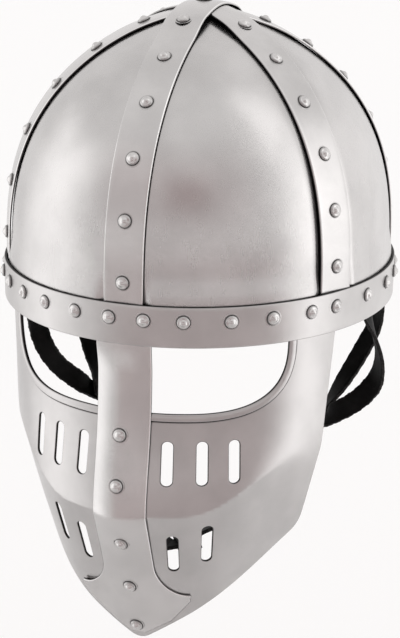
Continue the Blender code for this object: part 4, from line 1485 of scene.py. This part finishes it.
@dataclass
class NoseStrip:
    """The riveted strip down the middle of the guard, with its anchor-shaped foot."""

    form: GuardForm
    finish: SatinSteel
    rivet_finish: SatinSteel
    half_width: float = 0.0152
    thickness: float = 0.0012
    crown: float = 0.0036
    foot_crown: float = 0.0014
    foot_share: float = 0.6
    fluke_swell: float = 0.0022
    head: float = 0.0054
    step_length: float = 0.022
    foot_drop: float = 0.1775
    fluke_span: float = 0.0330
    fluke_drop: float = 0.1490
    neck_drop: float = 0.1290
    fluke_depth: float = 0.0045
    rim: float = 0.0008
    spacing: float = 0.0014
    # Painted shade on the rims above the flukes, and a painted highlight on the outer corner on the wearer's
    # left.
    painted_shade_from: float = 0.6
    painted_shade_below: float = 0.002
    painted_highlight: float = 0.85
    step_share: float = 0.75
    fluke_from: float = 0.005
    fluke_reach: float = 0.008
    tip_inset: float = 0.0005
    foot_turn: float = 0.6
    foot_rise: float = 0.0095
    foot_flat: float = 0.004
    rivet_drops: tuple[float, ...] = (0.0505, 0.0780, 0.1120, 0.1435, 0.1720)

    def outline(self) -> Array:
        """Parallel sides, flukes that sweep out in a quarter ellipse, and a pointed end.

        Returns:
            The outline.
        """
        share = np.linspace(0.0, math.pi / 2, 30)
        across = self.half_width + (self.fluke_span - self.half_width) * (1 - np.cos(share))
        down = -self.neck_drop - (self.fluke_drop - self.neck_drop) * np.sin(share)
        tip = [(self.fluke_span - self.tip_inset, -self.fluke_drop - self.fluke_depth)]
        turn_of_foot = (self.foot_turn * self.fluke_span, -self.foot_drop + self.foot_rise)
        under = [turn_of_foot, (self.foot_flat, -self.foot_drop)]
        side = [(self.half_width, self.head), (self.half_width, -self.form.crease_drop)]
        left = np.concatenate([side, np.stack([across, down], axis=1), tip, under])
        return np.concatenate([left, mirrored(left)])

    def bend(self, flat: Array, out: Numbers) -> Array:
        """Bends the flat strip onto the guard: it steps out at the top and is domed across its width.

        Args:
            flat: Places as (across, height) rows.
            out: How far each stands out of the strip's outer face.

        Returns:
            Points in space.
        """
        height = flat[:, 1]
        radius = self.form.radius(np.zeros(len(flat)), height)
        azimuth = np.degrees(flat[:, 0] / radius)
        step = smoothstep((height - self.head + self.step_length) / (self.step_length * self.step_share))
        stand_off = SEAT_GAP + (self.form.crown.thickness + self.form.seat_gap) * step
        low = smoothstep((-height - self.form.crease_drop) / (self.neck_drop - self.form.crease_drop))
        crown = self.crown + (self.foot_crown - self.crown) * low
        dome = np.clip(1.0 - (flat[:, 0] / self.half_width) ** 2, 0.0, 1.0) * crown * (1.0 - step)
        aside = -flat[:, 0] - self.half_width - self.fluke_from
        dome = dome + self.fluke_swell * low * smoothstep(aside / self.fluke_reach)
        thin = 1.0 - (1.0 - self.foot_share) * low
        lift = thin * (stand_off + (out + self.thickness) * (1.0 + dome / self.thickness))
        return self.form.point(azimuth, height) + lift[:, None] * self.form.normal(azimuth, height)

    def seats(self) -> list[Seat]:
        """Where the strip's rivet heads sit, and which way each faces.

        Returns:
            A seat and an outward direction for each rivet.
        """
        flat = np.stack([np.zeros(len(self.rivet_drops)), -np.array(self.rivet_drops)], axis=1)
        place = self.bend(flat, 0.0)
        return list(zip(place, unit(place - self.bend(flat, -self.thickness))))

    def build(self) -> None:
        """Builds the strip in place of its CAD node, and its rivet heads."""
        # The rims take painted shade above the flukes, and a painted highlight on the outer corner on the
        # wearer's left.
        floor = -self.fluke_drop - self.painted_shade_below
        made = {"rim": self.rim, "spacing": self.spacing, "painted_highlight": self.painted_highlight}
        painted_edge_shade = {"painted_shade_floor": floor, "painted_shade_from": self.painted_shade_from}
        plate = CutPlate(self.outline(), [], self.thickness, self.bend, **made, **painted_edge_shade)
        add_piece("nose_strip_satin", plate.shell(), self.finish, ("nose_strip",))
        add_piece("nose_strip_rivets", RivetHead().heads(self.seats()), self.rivet_finish)


Row = tuple[tuple[float, float, float], tuple[float, float, float]]


@dataclass
class ChinStraps:
    """The leather straps: each a flat section carried along its route, stacked where they meet."""

    finish: BlackLeather
    steel: SatinSteel
    width: float = 0.0120
    thickness: float = 0.0020
    clasp_length: float = 0.012
    clasp_wall: float = 0.002
    clasp_clearance: float = 0.0020
    clasp_points: int = 40
    clasp_power: float = 0.28
    clasp_lip: float = 0.46
    rounding: float = 0.0006
    edge_depth: float = 0.00035
    wander_long: Pair = (0.00016, 900.0)
    wander_short: Pair = (0.00012, 2300.0)
    steps_per_span: int = 16
    front_leg: tuple[Row, ...] = (
        ((0.1037, -0.0141, 0.0140), (0.11, 0.99, 0.0)),
        ((0.1038, -0.0134, 0.0000), (0.11, 0.99, 0.0)),
        ((0.1063, -0.0040, -0.0170), (-0.4, 0.8, 0.3)),
        ((0.1080, 0.0035, -0.0330), (-0.5, 0.7, 0.4)),
        ((0.1060, 0.0058, -0.0463), (-0.5, 0.5, 0.7)),
        ((0.1003, 0.0046, -0.0559), (-0.5, 0.3, 0.8)),
        ((0.0922, 0.0032, -0.0635), (-0.5, 0.2, 0.84)),
        ((0.0824, 0.0045, -0.0705), (-0.3, 0.4, 0.8)),
        ((0.0748, 0.0090, -0.0775), (0.27, 0.73, 0.58)),
        ((0.0682, 0.0159, -0.0830), (0.27, 0.73, 0.58)),
    )
    rear_leg: tuple[Row, ...] = (
        ((0.0995, 0.0440, 0.0140), (-0.41, 0.91, 0.0)),
        ((0.0995, 0.0440, 0.0000), (-0.41, 0.91, 0.0)),
        ((0.0997, 0.0441, -0.0120), (-0.5, 0.85, 0.1)),
        ((0.0971, 0.0424, -0.0255), (-0.65, 0.7, 0.3)),
        ((0.0906, 0.0374, -0.0410), (-0.75, 0.55, 0.3)),
        ((0.0826, 0.0294, -0.0583), (-0.75, 0.6, 0.1)),
        ((0.0756, 0.0224, -0.0727), (-0.55, 0.755, -0.30)),
        ((0.0684, 0.0116, -0.0843), (-0.52, 0.755, -0.35)),
    )
    chin_run: tuple[Row, ...] = (
        ((0.0724, 0.0176, -0.0773), (-0.52, 0.755, -0.35)),
        ((0.0676, 0.0104, -0.0857), (-0.52, 0.755, -0.35)),
        ((0.0630, 0.0040, -0.0965), (-0.3, 0.9, -0.2)),
        ((0.0545, -0.0030, -0.1130), (-0.2, 0.95, -0.1)),
        ((0.0385, -0.0204, -0.1325), (-0.1, 1.0, 0.0)),
        ((0.0190, -0.0354, -0.1435), (0.0, 1.0, 0.0)),
        ((0.0110, -0.0436, -0.1482), (0.0, 1.0, 0.0)),
        ((0.0000, -0.0490, -0.1506), (0.0, 1.0, 0.0)),
    )

    def route(self, rows: tuple[Row, ...]) -> tuple[Array, Array]:
        """A Catmull-Rom curve through a strap's places, with the direction of its width at each point.

        Args:
            rows: The places and width directions.

        Returns:
            Fine points and width directions.
        """
        values = np.array([place + width for place, width in rows])
        padded = np.concatenate([2 * values[:1] - values[1:2], values, 2 * values[-1:] - values[-2:-1]])
        share = (np.arange(self.steps_per_span) / self.steps_per_span)[:, None]
        pieces = []
        for number in range(len(values) - 1):
            a, b, c, d = padded[number : number + 4]
            pieces.append(0.5 * (
                2 * b + (c - a) * share + (2 * a - 5 * b + 4 * c - d) * share**2
                + (3 * b - a - 3 * c + d) * share**3
            ))
        fine = np.concatenate([*pieces, values[-1:]])
        return fine[:, :3], unit(fine[:, 3:])

    def directions(self, middle: Array, width: Array) -> tuple[Array, Array]:
        """Squares a strap's directions to its run.

        Args:
            middle: The route's points.
            width: The direction of its width at each.

        Returns:
            The directions out of its face and across its width.
        """
        tangent = unit(np.gradient(middle, axis=0))
        face = unit(np.cross(width, tangent))
        return face, np.cross(tangent, face)

    def strap(self, middle: Array, width: Array, shift: float) -> Shell:
        """A leather section carried along a route, its edges a little uneven.

        Args:
            middle: The route's points.
            width: The direction of its width at each.
            shift: How far it is moved out of its own face, by its place in the stack.

        Returns:
            The shell.
        """
        face, width = self.directions(middle, width)
        bar = RoundedBar(self.width, self.thickness, self.rounding, across_steps=10, corner_steps=5)
        corners, _ = bar.corners()
        sides = np.abs(corners[:, 0]) > 0.5 * self.width - self.edge_depth
        run = run_of(middle)
        (long, slow), (short, fast) = self.wander_long, self.wander_short
        wander = long * np.sin(run * slow) + short * np.sin(run * fast + 1.0)
        across = corners[None, :, 0] + np.sign(corners[None, :, 0]) * sides[None, :] * wander[:, None]
        out = corners[None, :, 1] - self.thickness / 2 + shift
        aside = across[..., None] * width[:, None, :]
        points = middle[:, None, :] + aside + out[..., None] * face[:, None, :]
        return Shell.swept(points, sides.astype(float))

    def leg(self, name: str, rows: tuple[Row, ...], side: Side, shift: float) -> None:
        """Builds one leg in place of its CAD node.

        Args:
            name: The CAD node's name.
            rows: The left leg's places and width directions.
            side: Which side it hangs on.
            shift: Its place in the stack.
        """
        middle, width = self.route(rows)
        flip = np.array([side.value, 1.0, 1.0])
        shell = self.strap(middle * flip, width * flip, shift * side.value)
        add_piece(f"{name}_leather", shell, self.finish, (name,))

    def under_chin(self, shift: float) -> None:
        """Builds the run under the chin from one side to the other.

        Args:
            shift: Its place in the stack.
        """
        left, left_width = self.route(self.chin_run)
        flip = np.array([-1.0, 1.0, 1.0])
        middle = np.concatenate([left, left[-2::-1] * flip])
        width = np.concatenate([left_width, left_width[-2::-1] * flip])
        add_piece("chin_strap_leather", self.strap(middle, width, shift), self.finish, ("chin_strap",))

    def clasp(self, shift: float) -> None:
        """Builds the plain sleeve that the chin strap runs through: rounded boxes, one inside the other,
        painted black all over to stand in for the shade seen through the guard's slot in front of it.

        Args:
            shift: The chin strap's place in the stack.
        """
        at = -1 - self.steps_per_span
        middle, width = self.route(self.chin_run)
        face, width = (lines[at] for lines in self.directions(middle, width))
        turn = np.arange(self.clasp_points) * 2 * math.pi / self.clasp_points
        power = self.clasp_power
        loops = []
        outer = self.clasp_wall
        for wall, half in ((outer, self.clasp_lip), (outer, 0.5), (0.0, 0.5), (0.0, -0.5), (outer, -0.5)):
            across = self.width / 2 + self.clasp_clearance + wall
            high = self.thickness / 2 + self.clasp_clearance + wall
            aside = across * np.sign(np.cos(turn)) * np.abs(np.cos(turn)) ** power
            out = shift + high * np.sign(np.sin(turn)) * np.abs(np.sin(turn)) ** power
            ring = middle[at] + aside[:, None] * width + out[:, None] * face
            loops.append(ring + half * self.clasp_length * np.cross(width, face))
        sections = np.array(loops).transpose(1, 0, 2)
        # Every mark is 1: painted shade all over the sleeve.
        sleeve = Shell.swept(sections, np.ones(len(loops)), closed=True)
        add_piece("chin_clasp_satin", sleeve, self.steel, ("chin_clasp",))

    def build(self) -> None:
        """Builds the four legs, the run under the chin and its clasp."""
        stack = self.thickness + SEAT_GAP
        for side in Side:
            word = side.name.lower()
            self.leg(f"strap_{word}_front", self.front_leg, side, 0.0)
            self.leg(f"strap_{word}_rear", self.rear_leg, side, stack)
        self.under_chin(2 * stack)
        self.clasp(2 * stack)


@dataclass(frozen=True)
class SoftPanel:
    """A soft-edged panel round the helmet, out of the camera's sight, that glows or shades what is behind it.

    Azimuths and elevations are degrees from the helmet, and each edge fades across its softness.
    """

    name: str
    azimuths: Pair
    elevations: Pair
    side_softness: float
    end_softness: float
    glow: float = 0.0
    shade: float = 0.0
    distance: float = 1.3
    step: float = 2.5
    warmth: float = 0.8
    shadow: bool = True

    def fades(self, angles: Array, limits: Pair, softness: float) -> Array:
        """Rises from 0 to 1 across the lower limit and falls again across the upper one.

        Args:
            angles: Angles in degrees.
            limits: The lower and upper limits.
            softness: How wide each edge is.

        Returns:
            The fade at each angle.
        """
        low, high = limits
        half = softness / 2
        return smoothstep((angles - low + half) / softness) * smoothstep((high + half - angles) / softness)

    def spread(self, limits: Pair, softness: float) -> Array:
        """Even angles in degrees that take in both limits with their soft edges."""
        low, high = limits[0] - softness / 2, limits[1] + softness / 2
        return np.linspace(low, high, math.ceil((high - low) / self.step) + 1)

    def material(self) -> bpy.types.Material:
        """A clear sheet with its glow added and its shade taken off, both by the sheet's fade.

        Returns:
            The finished material.
        """
        nodes = NodeTree(self.name)
        fade = nodes.add("ShaderNodeAttribute", attribute_name="fade").outputs["Fac"]
        clear, glow = nodes.add("ShaderNodeBsdfTransparent"), nodes.add("ShaderNodeEmission")
        kept = (1.0 - self.warmth * self.shade, 1.0 - self.shade, 1.0 - self.shade, 1.0)
        nodes.feed(clear.inputs["Color"], nodes.blend(fade, (1.0, 1.0, 1.0, 1.0), kept))
        nodes.feed(glow.inputs["Strength"], nodes.maths("MULTIPLY", fade, self.glow))
        both = nodes.add("ShaderNodeAddShader")
        nodes.feed(both.inputs[0], clear.outputs[0])
        nodes.feed(both.inputs[1], glow.outputs[0])
        nodes.feed(nodes.tree.nodes["Material Output"].inputs["Surface"], both.outputs[0])
        return nodes.material

    def build(self) -> None:
        """Makes the sheet: a patch of a sphere about the helmet, with its fade at each point."""
        azimuth = self.spread(self.azimuths, self.side_softness)[None, :]
        elevation = self.spread(self.elevations, self.end_softness)[:, None]
        across = self.fades(azimuth, self.azimuths, self.side_softness)
        fade = across * self.fades(elevation, self.elevations, self.end_softness)
        turn, rise = np.radians(azimuth), np.radians(elevation)
        parts = np.broadcast_arrays(np.sin(turn) * np.cos(rise), -np.cos(turn) * np.cos(rise), np.sin(rise))
        points = self.distance * np.stack(parts, axis=-1)
        mesh = bpy.data.meshes.new(self.name)
        mesh.from_pydata(points.reshape(-1, 3).tolist(), [], grid_quads(*fade.shape).tolist())
        mark = mesh.attributes.new("fade", "FLOAT", "POINT")
        mark.data.foreach_set("value", fade.ravel().astype(np.float32))
        mesh.materials.append(self.material())
        sheet = bpy.data.objects.new(self.name, mesh)
        sheet.visible_camera = False
        sheet.visible_shadow = sheet.visible_diffuse = self.shade > 0.0 and self.shadow
        bpy.context.scene.collection.objects.link(sheet)


def from_angles(azimuth: float, elevation: float) -> Vector:
    """Direction from the helmet to a place seen at an azimuth from the front and an elevation, in degrees."""
    turn, rise = math.radians(azimuth), math.radians(elevation)
    return Vector((math.sin(turn) * math.cos(rise), -math.cos(turn) * math.cos(rise), math.sin(rise)))


@dataclass
class Studio:
    """The camera at the photograph's viewpoint, a plain pale floor and soft light."""

    azimuth: float = 19.62
    elevation: float = 17.22
    roll: float = 0.73
    distance: float = 1.0116
    target: tuple[float, float, float] = (0.0, 0.0, -0.01761)
    lens: float = 97.17
    sensor: float = 36.0
    shift_y: float = -0.0100
    floor_drop: float = 0.75
    floor_size: float = 30.0
    clip: Pair = (0.05, 60.0)
    floor_tone: Colour = (0.98, 0.98, 0.98, 1.0)
    floor_roughness: float = 0.9
    sky_tone: Colour = (1.0, 0.985, 0.98, 1.0)
    panels: tuple[SoftPanel, ...] = (
        SoftPanel("panel_right_hand", (-98.0, -54.0), (-38.0, 33.0), 34.0, 18.0, glow=0.72),
        SoftPanel("panel_left_hand", (84.0, 165.0), (-45.0, 36.0), 26.0, 20.0, glow=0.28, distance=1.34),
        SoftPanel("panel_left_tall", (78.0, 106.0), (-45.0, 68.0), 24.0, 30.0, glow=0.70),
        SoftPanel("panel_left_low", (80.0, 150.0), (-66.0, -34.0), 20.0, 16.0, glow=0.14, distance=0.69),
        SoftPanel("panel_above", (-10.0, 175.0), (56.0, 78.0), 40.0, 20.0, glow=0.13, distance=1.38),
        SoftPanel("flag_front", (-38.0, 58.0), (6.0, 44.0), 40.0, 30.0, shade=0.25, distance=1.42),
        SoftPanel("flag_low", (-30.0, 76.0), (-42.0, -3.0), 26.0, 9.0, shade=0.36, distance=1.42),
        SoftPanel(
            "flag_floor", (-176.0, 176.0), (-86.0, -40.0), 4.0, 24.0,
            shade=0.09, warmth=1.0, distance=0.7, shadow=False,
        ),
        SoftPanel("flag_camera", (4.0, 31.0), (17.0, 33.0), 12.0, 10.0, shade=0.46, distance=1.5),
    )

    def camera(self) -> None:
        """Makes the camera: it looks at the target from the fitted angles, rolled a little."""
        data = bpy.data.cameras.new("camera")
        data.lens, data.sensor_width, data.shift_y = self.lens, self.sensor, self.shift_y
        data.clip_start, data.clip_end = self.clip
        camera = bpy.data.objects.new("camera", data)
        back = from_angles(self.azimuth, self.elevation)
        turn = math.radians(self.azimuth)
        level = Vector((math.cos(turn), math.sin(turn), 0.0))
        upright = back.cross(level)
        roll = math.radians(self.roll)
        right = math.cos(roll) * level + math.sin(roll) * upright
        up = back.cross(right)
        place = Vector(self.target) + self.distance * back
        camera.matrix_world = Matrix((
            (right.x, up.x, back.x, place.x),
            (right.y, up.y, back.y, place.y),
            (right.z, up.z, back.z, place.z),
            (0.0, 0.0, 0.0, 1.0),
        ))
        bpy.context.scene.collection.objects.link(camera)
        bpy.context.scene.camera = camera

    def floor(self) -> None:
        """Lays the pale floor well below the helmet."""
        half = self.floor_size / 2
        mesh = bpy.data.meshes.new("floor")
        corners = [(-half, -half), (half, -half), (half, half), (-half, half)]
        mesh.from_pydata([(x, y, -self.floor_drop) for x, y in corners], [], [(0, 1, 2, 3)])
        nodes = NodeTree("pale_floor")
        nodes.shader.inputs["Base Color"].default_value = self.floor_tone
        nodes.shader.inputs["Roughness"].default_value = self.floor_roughness
        mesh.materials.append(nodes.material)
        ground = bpy.data.objects.new("floor", mesh)
        bpy.context.scene.collection.objects.link(ground)

    def world(self) -> None:
        """Surrounds the scene with one plain pale tone."""
        world = bpy.data.worlds.new("studio")
        world.use_nodes = True
        world.node_tree.nodes["Background"].inputs["Color"].default_value = self.sky_tone
        bpy.context.scene.world = world
        bpy.context.scene.view_settings.view_transform = "Standard"

    def build(self) -> None:
        """Sets up the camera, the floor, the surroundings and the panels."""
        self.camera()
        self.floor()
        self.world()
        for panel in self.panels:
            panel.build()


def main() -> None:
    """Dresses the helmet from the crown down."""
    logging.basicConfig(level=logging.INFO, format="%(name)s: %(message)s")
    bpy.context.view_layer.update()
    crown = CrownForm()
    guard = GuardForm(crown)
    plate_steel = SatinSteel("steel_plates", waviness=0.25, painted_seam_shade=True)
    strip_steel = SatinSteel("steel_strips", tone=(0.55, 0.537, 0.532, 1.0), roughness=0.26, waviness=0.12)
    guard_steel = SatinSteel("steel_guard", tone=(0.475, 0.462, 0.458, 1.0), roughness=0.28, waviness=0.18)
    rivet_steel = SatinSteel("steel_rivets", tone=(0.56, 0.547, 0.541, 1.0), roughness=0.19)
    band_steel = SatinSteel("steel_band", tone=(0.495, 0.482, 0.477, 1.0), roughness=0.3, waviness=0.12)
    Studio().build()
    CrownPlates(crown, plate_steel).build()
    CrownStrips(crown, strip_steel, rivet_steel).build()
    BrowBand(crown, band_steel, rivet_steel).build()
    FaceGuard(guard, guard_steel).build()
    NoseStrip(guard, strip_steel, rivet_steel).build()
    ChinStraps(BlackLeather("leather_black"), strip_steel).build()
    bpy.context.view_layer.update()


if __name__ == "__main__":
    main()
